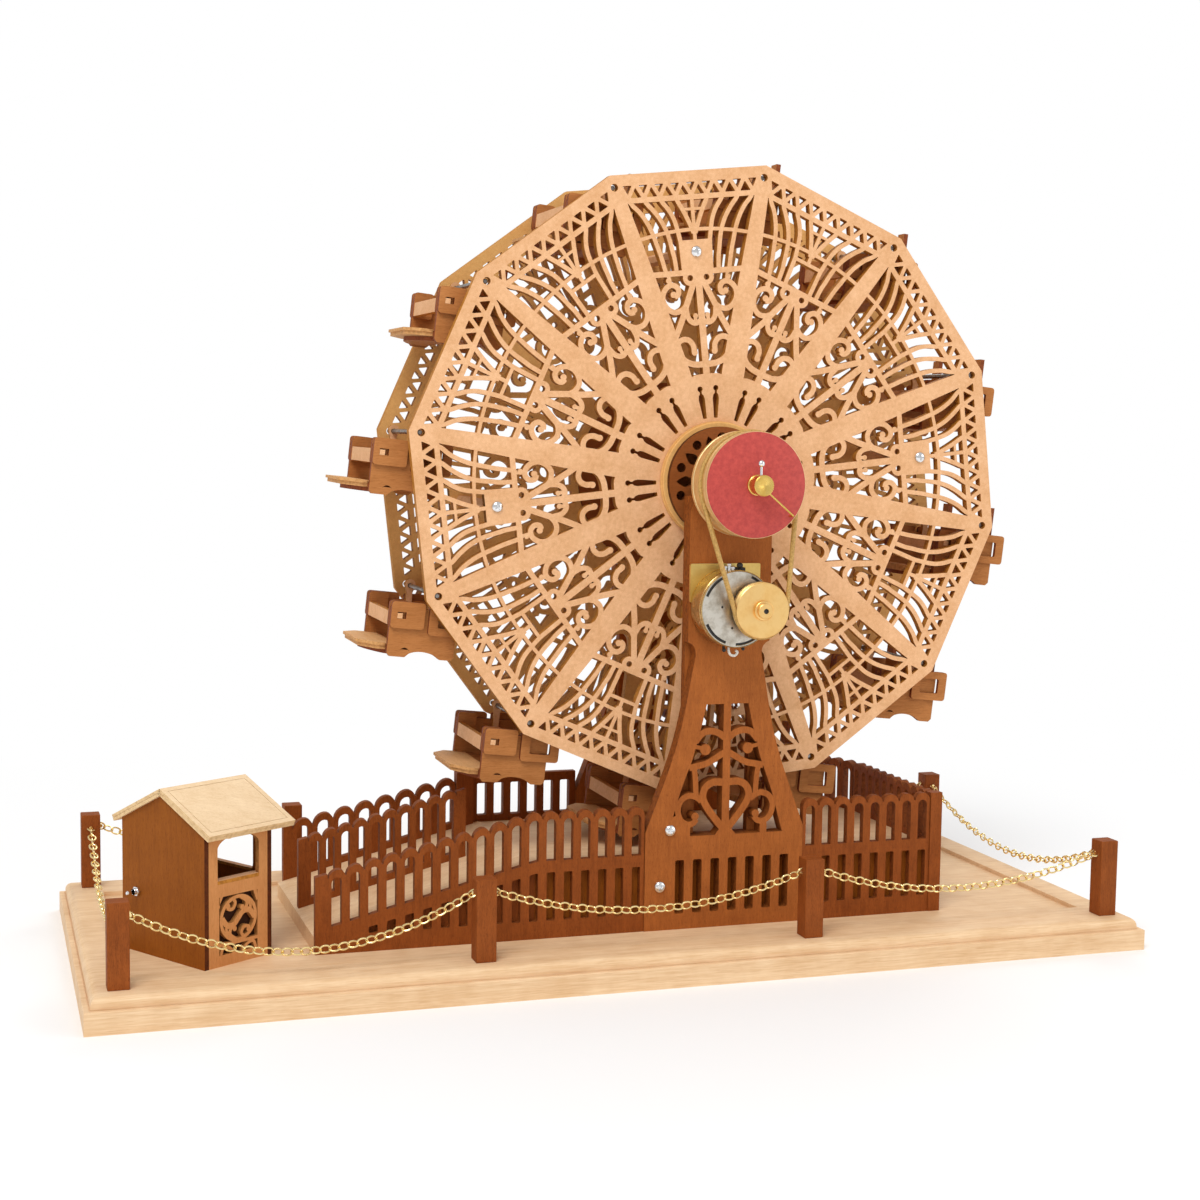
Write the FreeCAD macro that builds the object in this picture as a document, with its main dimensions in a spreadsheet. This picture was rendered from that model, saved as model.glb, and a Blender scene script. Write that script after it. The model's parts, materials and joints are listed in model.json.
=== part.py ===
"""Table model of a Ferris wheel cut from thin boards: a parametric document.

Two fretwork discs turn on one axle between two towers and carry twelve hanging
gondolas.  A geared motor on the front tower drives the axle through a round
belt.  A ramp, a deck with picket fences, a ticket booth with the switch and a
chain barrier stand on a moulded base board.

Frame: millimetres, +X along the base, +Y to the rear, +Z up.  The origin is the
centre of the underside of the base board.
"""
import FreeCAD, Part
import math
import os

Vector = FreeCAD.Vector
DOCUMENT = FreeCAD.newDocument("ferris_wheel")

# ------------------------------------------------------------------ sizes ----
SIZES = (
    # base board
    ("base_length", 690.0), ("base_depth", 292.0), ("base_height", 21.0),
    ("edge_height", 13.5), ("edge_ledge", 3.5), ("edge_round", 5.5),
    ("recess_depth", 3.0), ("recess_margin_x", 27.0), ("recess_margin_y", 40.0),
    # barrier
    ("post_side", 12.7), ("post_height", 51.0), ("post_inset", 14.0),
    ("rear_post_shift", 140.0), ("chain_width", 2.4), ("chain_drop", 9.0),
    ("front_sag_left", 29.0), ("front_sag", 18.0), ("side_sag", 27.0), ("rear_sag", 14.0),
    # deck, ramp and fences
    ("platform_left", -203.0), ("ramp_top", -61.0), ("platform_right", 226.0),
    ("platform_half", 79.0), ("ramp_nose", 10.0), ("deck_height", 46.0),
    ("deck_board", 5.0), ("fence_board", 6.0),
    ("fence_height", 82.0), ("fence_nose", 49.5), ("fence_stile", 7.5),
    ("slot_share", 0.55), ("slot_rail", 4.5),
    ("corner_post", 8.5), ("gate_post", 12.0), ("rail_fence_height", 71.0),
    ("bend_back", 37.0), ("bend_in", 14.0),
    # towers
    ("wheel_x", 67.0), ("axle_z", 310.0), ("tower_board", 9.5), ("upright_board", 6.0),
    ("tower_half", 55.5), ("tower_plinth", 65.0), ("waist_half", 23.0), ("waist_z", 198.0),
    ("block_half", 28.5), ("notch_rise", 9.0), ("shoulder_z", 292.0), ("head_round", 21.0),
    # wheel
    ("disc_half_gap", 44.0), ("disc_board", 6.0), ("disc_apothem", 205.0),
    ("pivot_radius", 201.0), ("wheel_phase", 6.5), ("spoke_width", 10.0),
    ("rim_band", 6.5), ("truss_height", 9.5), ("truss_band", 3.0), ("truss_strut", 2.4),
    ("chord_radius", 139.0), ("chord_band", 5.0), ("scroll_radius", 83.0),
    ("slot_inner", 42.0), ("slot_outer", 74.0),
    ("ring_radius", 37.5), ("ring_board", 5.0), ("rosette_radius", 36.0), ("rosette_board", 4.0),
    ("rod_radius", 1.6), ("tie_radius", 150.0), ("tie_side", 13.0), ("tie_round", 4.0),
    # axle and its drive
    ("axle_radius", 3.0), ("running_gap", 0.05), ("axle_tail", 6.0),
    ("pulley_radius", 33.7), ("pulley_width", 27.0), ("pulley_stand_off", 13.0),
    ("belt_radius", 1.6), ("belt_plane", -108.0), ("groove_depth", 2.4), ("groove_half", 2.1), ("belt_gap", 0.3),
    ("hub_radius", 6.6), ("hub_length", 13.0), ("wire_radius", 0.6),
    ("motor_x", 64.0), ("shaft_x", 77.0), ("motor_z", 230.0), ("motor_radius", 25.0),
    ("motor_depth", 19.0), ("bracket_board", 2.0), ("bracket_height", 25.0),
    ("motor_pulley_radius", 18.0), ("motor_pulley_width", 10.0),
    ("shaft_radius", 2.5),
    # gondola, seen from its pivot
    ("gondola_half", 41.0), ("gondola_lean", 6.0), ("side_board", 3.6), ("arm_board", 2.8),
    ("thin_board", 3.0), ("body_front", 24.0), ("body_back", 17.0), ("body_bottom", 41.5),
    ("arm_top", 6.0), ("arm_bottom", 26.0), ("arm_front", 27.0), ("arm_back", 24.0),
    ("back_top", 13.0), ("seat_depth", 25.0), ("foot_reach", 44.0), ("hanger_width", 6.0),
    # ticket booth
    ("booth_x", -272.0), ("booth_y", -95.0), ("booth_turn", 32.5), ("booth_width", 52.0),
    ("booth_depth", 79.0), ("booth_wall", 3.2), ("eave_height", 82.0), ("ridge_height", 101.0),
    ("roof_board", 4.0), ("roof_overhang", 7.5), ("roof_reach", 13.0), ("window_sill", 52.0),
    ("switch_along", 64.0), ("switch_height", 38.0), ("lever_radius", 1.1), ("lever_length", 10.0),
    ("switch_bore", 1.9), ("switch_tube", 0.8), ("lever_root", 1.5),
)

SHEET = DOCUMENT.addObject("Spreadsheet::Sheet", "Sizes")
for row, (alias, value) in enumerate(SIZES, start=1):
    SHEET.set("A%d" % row, alias)
    SHEET.set("B%d" % row, repr(value))
    SHEET.setAlias("B%d" % row, alias)
DOCUMENT.recompute()

GONDOLAS = 12                   # also the number of sides of the wheel
STEP_ANGLE = 360.0 / GONDOLAS
FRONT, REAR = -1.0, 1.0
NODES = []                      # finished sub-parts, in the order of making


def size(alias):
    """Value of one cell of the sheet."""
    return float(SHEET.get(alias))


def bind(item, **expressions):
    """Tie properties to cells: Length="post_side" reads Sizes.post_side."""
    for name, text in expressions.items():
        item.setExpression(name, text.replace("$", "Sizes."))


def place(item, x, y, z):
    """Bind the position of an item to three expressions."""
    for axis, text in zip("xyz", (x, y, z)):
        item.setExpression("Placement.Base." + axis, text.replace("$", "Sizes."))


def node(item, label):
    """Record an item as a finished sub-part under its own name."""
    item.Label = label
    NODES.append(item)
    return item


def group(label, items):
    """One node that keeps several separate solids."""
    compound = DOCUMENT.addObject("Part::Compound", "Group_" + label)
    compound.Links = items
    return node(compound, label)


def box(name, length, width, height, x, y, z):
    """A box with bound sizes and a bound corner."""
    item = DOCUMENT.addObject("Part::Box", name)
    bind(item, Length=length, Width=width, Height=height)
    place(item, x, y, z)
    return item


def rod_y(name, radius, length, x, y, z):
    """A cylinder that runs along +Y from a bound point."""
    item = DOCUMENT.addObject("Part::Cylinder", name)
    bind(item, Radius=radius, Height=length)
    item.Placement = FreeCAD.Placement(Vector(), FreeCAD.Rotation(Vector(1, 0, 0), -90))
    place(item, x, y, z)
    return item


def prism_y(name, radius, length, x, y, z, angle):
    """A thin six sided bar along +Y, one corner turned to an angle from +X."""
    item = DOCUMENT.addObject("Part::Prism", name)
    item.Polygon = 6
    bind(item, Circumradius=radius, Height=length)
    spin = FreeCAD.Rotation(Vector(0, 0, 1), -angle)
    item.Placement = FreeCAD.Placement(
        Vector(), FreeCAD.Rotation(Vector(1, 0, 0), -90).multiply(spin))
    place(item, x, y, z)
    return item


def fixed(name, shape):
    """A feature with a ready shape, for forms that the primitives lack."""
    item = DOCUMENT.addObject("Part::Feature", name)
    item.Shape = shape
    return item


# --------------------------------------------------------------- outlines ----
class Arc:
    """A round stretch of an outline: it goes through `by` and ends at `to`."""

    def __init__(self, by, to):
        self.by, self.to = by, to


def flat(point):
    return Vector(point[0], point[1], 0)


def edges(loop):
    """Sketch curves of one closed outline of points and Arc stretches."""
    ends = [item.to if isinstance(item, Arc) else item for item in loop]
    curves = []
    for index, item in enumerate(loop):
        start = ends[index - 1]
        if isinstance(item, Arc):
            curves.append(Part.Arc(flat(start), flat(item.by), flat(item.to)))
        elif math.dist(start, item) > 1e-6:
            curves.append(Part.LineSegment(flat(start), flat(item)))
    return curves


def mirrored(loop):
    """The same outline on the other side of the vertical axis."""
    def flip(point):
        return (-point[0], point[1])
    return [Arc(flip(item.by), flip(item.to)) if isinstance(item, Arc) else flip(item)
            for item in backwards(loop)]


def backwards(loop):
    """The outline walked the other way round."""
    ends = [item.to if isinstance(item, Arc) else item for item in loop]
    turned = []
    for index in range(len(loop) - 1, -1, -1):
        item = loop[index]
        before = ends[index - 1]
        turned.append(Arc(item.by, before) if isinstance(item, Arc) else before)
    return turned


def sketch(body, name, role, loops):
    """A sketch on one of the body's own origin planes."""
    item = body.newObject("Sketcher::SketchObject", name)
    plane = [feature for feature in body.Origin.OriginFeatures if feature.Role == role][0]
    item.AttachmentSupport = [(plane, "")]
    item.MapMode = "FlatFace"
    for loop in loops:
        item.addGeometry(edges(loop), False)
    return item


def board(label, loops, thickness, role="XZ_Plane", outward=False):
    """A flat board: first loop its outline, the others its openings.

    On the XZ plane the board grows towards +Y, or towards -Y when outward.
    """
    body = DOCUMENT.addObject("PartDesign::Body", label)
    outline = sketch(body, label + "_outline", role, loops)
    pad = body.newObject("PartDesign::Pad", label + "_pad")
    pad.Profile = outline
    pad.Reversed = (role == "XZ_Plane") != outward
    bind(pad, Length=thickness)
    body.Tip = pad
    return body


def rectangle(left, bottom, right, top):
    return [(left, bottom), (right, bottom), (right, top), (left, top)]


# ------------------------------------------------------------- base board ----
def make_base():
    """Moulded slab with a shallow recessed panel."""
    body = DOCUMENT.addObject("PartDesign::Body", "base_board")
    half_x, half_y, ledge = size("base_length") / 2, size("base_depth") / 2, size("edge_ledge")
    slab = sketch(body, "base_outline", "XY_Plane", [rectangle(-half_x, -half_y, half_x, half_y)])
    pad = body.newObject("PartDesign::Pad", "base_slab")
    pad.Profile = slab
    bind(pad, Length="$edge_height")
    upper = sketch(body, "base_upper", "XY_Plane",
                   [rectangle(ledge - half_x, ledge - half_y, half_x - ledge, half_y - ledge)])
    step = body.newObject("PartDesign::Pad", "base_step")
    step.Profile = upper
    bind(step, Length="$base_height")
    DOCUMENT.recompute()
    top = size("base_height")
    rims = ["Edge%d" % (number + 1) for number, edge in enumerate(step.Shape.Edges)
            if all(abs(vertex.Z - top) < 1e-6 for vertex in edge.Vertexes)]
    moulding = body.newObject("PartDesign::Fillet", "base_moulding")
    moulding.Base = (step, rims)
    bind(moulding, Radius="$edge_round")
    in_x, in_y = half_x - size("recess_margin_x"), half_y - size("recess_margin_y")
    panel = sketch(body, "recess_outline", "XY_Plane", [rectangle(-in_x, -in_y, in_x, in_y)])
    panel.AttachmentOffset = FreeCAD.Placement(Vector(0, 0, top), FreeCAD.Rotation())
    recess = body.newObject("PartDesign::Pocket", "base_recess")
    recess.Profile = panel
    bind(recess, Length="$recess_depth")
    body.Tip = recess
    node(body, "base_board")


FLOOR = "($base_height - $recess_depth)"


def floor_z():
    """Height of the recessed panel, on which the buildings stand."""
    return size("base_height") - size("recess_depth")


# ---------------------------------------------------------------- barrier ----
def post_places():
    """Near left corner of each post: four in front, then four at the rear."""
    side, inset = size("post_side"), size("post_inset")
    first = inset - size("base_length") / 2
    last = size("base_length") / 2 - inset - side
    front = inset - size("base_depth") / 2
    rear = size("base_depth") / 2 - inset - side
    pitch, shift = (last - first) / 3, size("rear_post_shift")
    return ([(first + pitch * number, front) for number in range(4)]
            + [(first, rear), (first + shift, rear), (last - shift, rear), (last, rear)])


def make_barrier():
    """Square posts and the chain that hangs between them."""
    posts = []
    for number, (x, y) in enumerate(post_places()):
        posts.append(box("Post_%d" % number, "$post_side", "$post_side", "$post_height",
                         repr(x), repr(y), "$base_height"))
    group("chain_posts", posts)
    spans = ((0, 1, "front_sag_left"), (1, 2, "front_sag"), (2, 3, "front_sag"),
             (0, 4, "side_sag"), (3, 7, "side_sag"), (4, 5, "rear_sag"), (6, 7, "rear_sag"))
    group("barrier_chain", [fixed("Span_%d" % number, chain_span(*span))
                            for number, span in enumerate(spans)])


def chain_span(first, last, sag_name, parts=6):
    """A thin hanging band between the facing sides of two posts."""
    side, wide = size("post_side"), size("chain_width")
    start, end = post_places()[first], post_places()[last]
    along_x = abs(start[1] - end[1]) < side
    run = (end[0] - start[0] if along_x else end[1] - start[1]) - side
    top = size("base_height") + size("post_height") - size("chain_drop")

    def drop(share, shift):
        return (share * run, top + shift - 4 * size(sag_name) * share * (1 - share))
    shares = [number / parts for number in range(parts + 1)]
    points = ([drop(share, -wide / 2) for share in shares]
              + [drop(share, wide / 2) for share in reversed(shares)])
    outline = [Vector(x, 0, z) for x, z in points + points[:1]]
    band = Part.Face(Part.makePolygon(outline)).extrude(Vector(0, wide, 0))
    if along_x:
        band.translate(Vector(start[0] + side, start[1] + side / 2 - wide / 2, 0))
    else:
        band.rotate(Vector(), Vector(0, 0, 1), 90)
        band.translate(Vector(start[0] + side / 2 + wide / 2, start[1] + side, 0))
    return band


# ------------------------------------------------------ deck, ramp, fences ----
def ramp_z(x):
    """Walking surface: the ramp up to the deck, then level."""
    left, right = size("platform_left"), size("ramp_top")
    low, high = floor_z() + size("ramp_nose"), floor_z() + size("deck_height")
    share = min(max((x - left) / (right - left), 0.0), 1.0)
    return low + (high - low) * share


def fence_top(x):
    """Line of the picket tops: it rises along the ramp, then runs level."""
    left, right = size("platform_left"), size("ramp_top")
    share = min(max((x - left) / (right - left), 0.0), 1.0)
    low, high = floor_z() + size("fence_nose"), floor_z() + size("fence_height")
    return low + (high - low) * share


def level_top(_):
    return floor_z() + size("fence_height")


def fence_loops(left, right, count, top, foot, walk, stiles=(0.0, 0.0)):
    """Outline and openings of a picket fence.

    top, foot and walk give the heights of the picket tops, of the lower edge
    and of the walking surface behind the fence, each along X.
    """
    first, last = left + stiles[0], right - stiles[1]
    pitch = (last - first) / count
    half = pitch * size("slot_share") / 2
    outline = [(left, foot(left)), (right, foot(right)), (right, top(right) - pitch / 2)]
    openings = []
    crowns = []
    for number in range(count):
        middle = first + pitch * (number + 0.5)
        height = top(middle)
        crowns.append([(middle - half * 0.6, height), (middle + half * 0.6, height)])
        sill = walk(middle) + size("slot_rail")
        head = height - size("slot_rail")
        openings.append(rectangle(middle - half, sill, middle + half, head))
    for number in range(count - 1, -1, -1):
        outline += crowns[number][::-1]
        valley = first + pitch * number
        if number:
            outline.append((valley, top(valley) - pitch / 3))
    outline += [(first, top(first) - pitch / 3), (left, top(left) - pitch / 3)]
    return [outline] + openings


def floor_line(_):
    return floor_z()


def make_platform():
    """Ramp, deck and the boards that close the space under them."""
    left, bend, right = size("platform_left"), size("ramp_top"), size("platform_right")
    low = floor_z()
    ramp = board("entry_ramp", [[(left, low), (bend, low), (bend, ramp_z(bend)),
                                 (left, ramp_z(left))]], "2 * ($platform_half - $fence_board)")
    place(ramp, "0", "$fence_board - $platform_half", "0")
    node(ramp, "entry_ramp")
    inner_right, inner_y = right - size("corner_post"), size("platform_half") - size("tower_board")
    deck = board("deck", [[(bend, -inner_y), (inner_right, -inner_y), (inner_right, bend_y()),
                           (bent_x(inner_y), inner_y), (bend, inner_y)]], "$deck_board",
                 role="XY_Plane")
    place(deck, "0", "0", FLOOR + " + $deck_height - $deck_board")
    node(deck, "deck")
    fence_y = size("platform_half") - size("fence_board")
    tower_left = size("wheel_x") - size("tower_half")
    tower_right = size("wheel_x") + size("tower_half")
    backing = []
    for name, start, end, y in (("Front_left", bend, tower_left, -fence_y),
                                ("Front_right", tower_right, inner_right, -fence_y),
                                ("Rear_left", bend, tower_left, inner_y),
                                ("Rear_right", tower_right, bent_x(fence_y), inner_y)):
        backing.append(box(name + "_backing", repr(end - start), "$tower_board - $fence_board",
                           "$deck_height", repr(start), repr(y), FLOOR))
    group("fence_backing", backing)


def bend_y():
    """Y at which the end fence bends inwards."""
    return size("platform_half") - size("bend_back")


def bent_x(y):
    """Inner face of the end fence where it slants."""
    inner = size("platform_right") - size("corner_post")
    return inner - (y - bend_y()) * size("bend_in") / size("bend_back")


def make_fences():
    """Picket fences along the ramp lanes and round the deck."""
    left, bend, right = size("platform_left"), size("ramp_top"), size("platform_right")
    tower_left = size("wheel_x") - size("tower_half")
    tower_right = size("wheel_x") + size("tower_half")
    stile, corner = size("fence_stile"), size("corner_post")
    front = "-$platform_half"
    fence = board("fence_front_left",
                  fence_loops(left, tower_left, 18, fence_top, floor_line, ramp_z,
                              stiles=(stile, 0.0)), "$fence_board")
    place(fence, "0", front, "0")
    node(fence, "fence_front_left")
    fence = board("Front_right_fence",
                  fence_loops(tower_right, right - corner, 8, level_top, floor_line, ramp_z),
                  "$fence_board")
    place(fence, "0", front, "0")
    post = box("Corner_post", "$corner_post", "$corner_post", "$fence_height",
               "$platform_right - $corner_post", front, FLOOR)
    group("fence_front_right", [fence, post])
    middle_right = bend - 28.0 * (bend - left) / 142.0
    fence = board("fence_middle",
                  fence_loops(left + 2, middle_right, 10, fence_top, ramp_z, ramp_z,
                              stiles=(stile, stile)), "$fence_board")
    place(fence, "0", "-$fence_board / 2", "0")
    node(fence, "fence_middle")
    make_rear_fence(left, bend, tower_left)
    make_end_fence()


def make_rear_fence(left, bend, tower_left):
    """Sloping pickets, a gate post, then a level fence with square slots."""
    post_left = bend - size("gate_post") - 4.0
    sloping = board("Rear_slope",
                    fence_loops(left + 4, post_left, 8, fence_top, floor_line, ramp_z,
                                stiles=(size("fence_stile"), 0.0)), "$fence_board")
    rear = "$platform_half - $fence_board"
    place(sloping, "0", rear, "0")
    post = box("Gate_post", "$gate_post", "$fence_board", "$fence_height",
               repr(post_left), rear, FLOOR)
    rail_left = post_left + size("gate_post")
    rail_top = floor_z() + size("rail_fence_height")
    walk, count = floor_z() + size("deck_height"), 6
    pitch = (tower_left - rail_left) / count
    half = pitch * size("slot_share") / 2
    middles = [rail_left + pitch * (number + 0.5) for number in range(count)]
    loops = [rectangle(rail_left, floor_z(), tower_left, rail_top)]
    for middle in middles:
        loops.append(rectangle(middle - half, walk + 4, middle + half, rail_top - 7))
    rail = board("Rear_rail", loops, "$fence_board")
    place(rail, "0", rear, "0")
    group("fence_rear", [sloping, post, rail])


def make_end_fence():
    """Fence across the right end; its rear stretch bends inwards."""
    front_y = size("corner_post") - size("platform_half")
    straight = board("End_straight",
                     fence_loops(front_y, bend_y(), 10, level_top, floor_line, ramp_end),
                     "$fence_board", role="YZ_Plane")
    place(straight, "$platform_right - $corner_post", "0", "0")
    run = math.hypot(size("bend_back"), size("bend_in"))
    turned = board("End_bend",
                   fence_loops(0.0, run, 3, level_top, floor_line, ramp_end),
                   "$fence_board", role="YZ_Plane")
    angle = math.degrees(math.atan2(size("bend_in"), size("bend_back")))
    turned.Placement = FreeCAD.Placement(Vector(), FreeCAD.Rotation(Vector(0, 0, 1), angle))
    place(turned, "$platform_right - $corner_post", repr(bend_y()), "0")
    group("fence_right_end", [straight, turned])


def ramp_end(_):
    """Deck height, as seen from the end fence."""
    return floor_z() + size("deck_height")


# ----------------------------------------------------------------- towers ----
def tower_outline():
    """Plinth, concave flare, notched block and round head, about X = 0."""
    half, waist, block = size("tower_half"), size("waist_half"), size("block_half")
    foot = floor_z()
    plinth, waist_z = foot + size("tower_plinth"), size("waist_z")
    block_z, shoulder = waist_z + size("notch_rise"), size("shoulder_z")
    head = size("head_round")
    middle = ((half + waist) / 2 - 4.5, (plinth + waist_z) / 2)
    right = [(half, foot), (half, plinth), Arc(middle, (waist, waist_z)),
             Arc((block - 1.5, block_z - 6.0), (block, block_z)), (block, shoulder),
             (head, size("axle_z"))]
    crown = [Arc((0, size("axle_z") + head), (-head, size("axle_z")))]
    left = [(-block, shoulder), (-block, block_z),
            Arc((1.5 - block, block_z - 6.0), (-waist, waist_z)),
            Arc((-middle[0], middle[1]), (-half, plinth)), (-half, foot)]
    return right + crown + left


def tower_fretwork():
    """Openings on the right half of the tower; the left half mirrors them."""
    sill = floor_z() + 59.0
    slots = [(2.2, sill + 75), (8.2, sill + 75), (9.8, sill + 89), (2.2, sill + 89)]
    upper = [(3.4, sill + 60), (10.0, sill + 51), (17.0, sill + 49), (10.0, sill + 65)]
    centre = [(2.2, sill + 35), (13.5, sill + 33), (16.5, sill + 42), (2.2, sill + 50)]
    heart = [(2.2, sill + 9), (10.0, sill + 24), (6.0, sill + 31), (2.2, sill + 29)]
    side = [(19.5, sill + 25), (24.5, sill + 23), (20.0, sill + 38)]
    lower = [(12.5, sill + 14), (20.0, sill + 11), (23.0, sill + 15), (16.5, sill + 21)]
    foot = [(5.0, sill), (26.5, sill), (24.5, sill + 9), (11.0, sill + 5)]
    return [slots, upper, centre, heart, side, lower, foot]


def plinth_slots(count=7, pitch=12.6, half=3.3):
    """Row of upright slots across the plinth."""
    low, high = floor_z() + 16.0, floor_z() + 49.0
    middles = [pitch * (number - (count - 1) / 2) for number in range(count)]
    return [rectangle(middle - half, low, middle + half, high) for middle in middles]


def make_tower(label, sign):
    """Fretwork panel with a plain upright behind it that stiffens the block."""
    right = tower_fretwork()
    loops = [tower_outline()] + right + [mirrored(loop) for loop in right] + plinth_slots()
    loops.append(circle_loop(0, size("axle_z"), size("axle_radius") + size("running_gap")))
    panel = board(label + "_panel", loops, "$tower_board", outward=sign > 0)
    place(panel, "$wheel_x", "%g * $platform_half" % sign, "0")
    block, foot = size("block_half") - 1.5, floor_z() + size("deck_height")
    top = size("axle_z") - size("axle_radius") - 6.0
    upright_loops = [rectangle(-block, foot, block, top),
                     rectangle(8 - block, foot + 15, block - 8, size("waist_z") - 20)]
    upright = board(label + "_upright", upright_loops, "$upright_board", outward=sign > 0)
    place(upright, "$wheel_x", "%g * ($platform_half - $tower_board)" % sign, "0")
    group(label, [panel, upright])


def circle_loop(x, z, radius):
    """A full circle as two arcs."""
    return [Arc((x, z + radius), (x + radius, z)), Arc((x, z - radius), (x - radius, z))]


def turned(profile, centre, sign):
    """Revolve (radius, height) points about an axis along Y, height times sign."""
    points = [Vector(radius, sign * height, 0) for radius, height in profile]
    face = Part.Face(Part.makePolygon(points + points[:1]))
    solid = face.revolve(Vector(), Vector(0, 1, 0), 360)
    if solid.Volume < 0:
        solid.reverse()
    solid.translate(centre)
    return solid


# ------------------------------------------------------------------ wheel ----
def polar(radius, angle):
    """Point of the wheel plane at an angle in degrees from +X."""
    return (radius * math.cos(math.radians(angle)), radius * math.sin(math.radians(angle)))


def sector_half(height):
    """Half the free width of a sector between its spokes at a height."""
    slope = math.radians(STEP_ANGLE / 2)
    return height * math.tan(slope) - size("spoke_width") / 2 / math.cos(slope)


def truss_loops(count=3):
    """Zig-zag row of triangles under the rim."""
    high = size("disc_apothem") - size("rim_band")
    low = high - size("truss_height")
    strut = size("truss_strut")
    reach = sector_half(low) - strut
    pitch = 2 * reach / (count // 2 + 1)
    loops = []
    for number in range(count):
        middle = -reach + pitch * (number + 1) / 2
        half = pitch / 2 - strut
        if number % 2:
            loops.append([(middle - half, high), (middle, low), (middle + half, high)])
        else:
            loops.append([(middle - half, low), (middle + half, low), (middle, high)])
    return loops


def fan_loops():
    """Opening on each side of the middle rib, between the chord and the truss."""
    top = size("disc_apothem") - size("rim_band") - size("truss_height") - size("truss_band")
    low = size("chord_radius") + size("chord_band")
    rib = size("truss_strut") / 2
    opening = [(rib, low), (sector_half(low) - rib, low), (sector_half(top) - rib, top), (rib, top)]
    return [opening, mirrored(opening)]


def scroll_loops():
    """Pointed leaf in the middle of the scroll band with a horn on each side."""
    high, low = size("chord_radius"), size("scroll_radius")
    middle = (high + low) / 2
    leaf = [(0, low + 4), (8.5, middle), (0, high - 6), (-8.5, middle)]
    horn = [(4.5, high - 2), (sector_half(high) - 2, high - 2), (sector_half(middle) - 2, middle - 4)]
    return [leaf, horn, mirrored(horn)]


def keyhole_loop():
    """One radial slot of the ring, narrow at its inner end."""
    inner, outer = size("slot_inner"), size("slot_outer")
    return [(0, inner), (3.6, outer), (-3.6, outer)]


def make_disc(label, sign):
    """Twelve sided board, pierced sector by sector."""
    body = DOCUMENT.addObject("PartDesign::Body", label)
    corner = size("disc_apothem") / math.cos(math.radians(STEP_ANGLE / 2))
    outline = [polar(corner, STEP_ANGLE * (number + 0.5)) for number in range(GONDOLAS)]
    blank = sketch(body, label + "_outline", "XZ_Plane",
                   [outline, circle_loop(0, 0, size("axle_radius"))])
    pad = body.newObject("PartDesign::Pad", label + "_board")
    pad.Profile = blank
    pad.Reversed = sign > 0
    bind(pad, Length="$disc_board")
    sector = sketch(body, label + "_sector", "XZ_Plane",
                    truss_loops() + fan_loops() + scroll_loops())
    pierced = pocket(body, label + "_pierced", sector, sign)
    tip = repeat(body, label + "_sectors", pierced, GONDOLAS)
    slot = sketch(body, label + "_keyhole", "XZ_Plane",
                  [turn_loop(keyhole_loop(), STEP_ANGLE / 4)])
    slots = repeat(body, label + "_keyholes", pocket(body, label + "_slot", slot, sign),
                   2 * GONDOLAS)
    pads = sketch(body, label + "_tie_outline", "XZ_Plane", [tie_outline()])
    tie = body.newObject("PartDesign::Pad", label + "_tie_pad")
    tie.Profile = pads
    tie.Reversed = sign > 0
    bind(tie, Length="$disc_board")
    ties = repeat(body, label + "_tie_pads", tie, 4)
    holes = sketch(body, label + "_pivot_outline", "XZ_Plane", [rod_hole()])
    body.Tip = repeat(body, label + "_pivots", pocket(body, label + "_pivot", holes, sign),
                      GONDOLAS)
    set_on_axle(body, "%g * $disc_half_gap" % sign)
    return node(body, label), tip, slots, ties


def tie_outline():
    half, radius = size("tie_side") / 2, size("tie_radius")
    return rectangle(-half, radius - half, half, radius + half)


def rod_hole():
    """Six sided hole that grips a gondola rod, at a corner of the wheel."""
    angle = 90 + STEP_ANGLE / 2
    x, z = polar(size("pivot_radius"), angle)
    corners = [polar(size("rod_radius"), angle + 60 * number) for number in range(6)]
    return [(x + across, z + up) for across, up in corners]


def turn_loop(loop, angle):
    """The same points turned about the wheel's centre."""
    cosine, sine = math.cos(math.radians(angle)), math.sin(math.radians(angle))
    return [(x * cosine - z * sine, x * sine + z * cosine) for x, z in loop]


def pocket(body, name, profile, sign):
    """Cut a profile through the board."""
    item = body.newObject("PartDesign::Pocket", name)
    item.Profile = profile
    item.Type = "ThroughAll"
    item.Reversed = sign < 0
    body.Tip = item
    return item


def repeat(body, name, feature, count):
    """Polar pattern of one feature about the wheel's axis."""
    item = body.newObject("PartDesign::PolarPattern", name)
    item.Originals = [feature]
    item.Axis = (body.Origin.OriginFeatures[1], [""])
    item.Angle = 360.0
    item.Occurrences = count
    body.Tip = item
    return item


def set_on_axle(item, depth):
    """Turn an item by the wheel's phase and put it on the axle at a depth."""
    item.Placement = FreeCAD.Placement(Vector(), wheel_turn())
    place(item, "$wheel_x", depth, "$axle_z")


def wheel_turn():
    return FreeCAD.Rotation(Vector(0, 1, 0), -size("wheel_phase"))


def on_wheel(radius, angle):
    """X and Z of a point of the wheel at rest; angle from +X, before the phase."""
    x, z = polar(radius, angle + size("wheel_phase"))
    return size("wheel_x") + x, size("axle_z") + z


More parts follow.
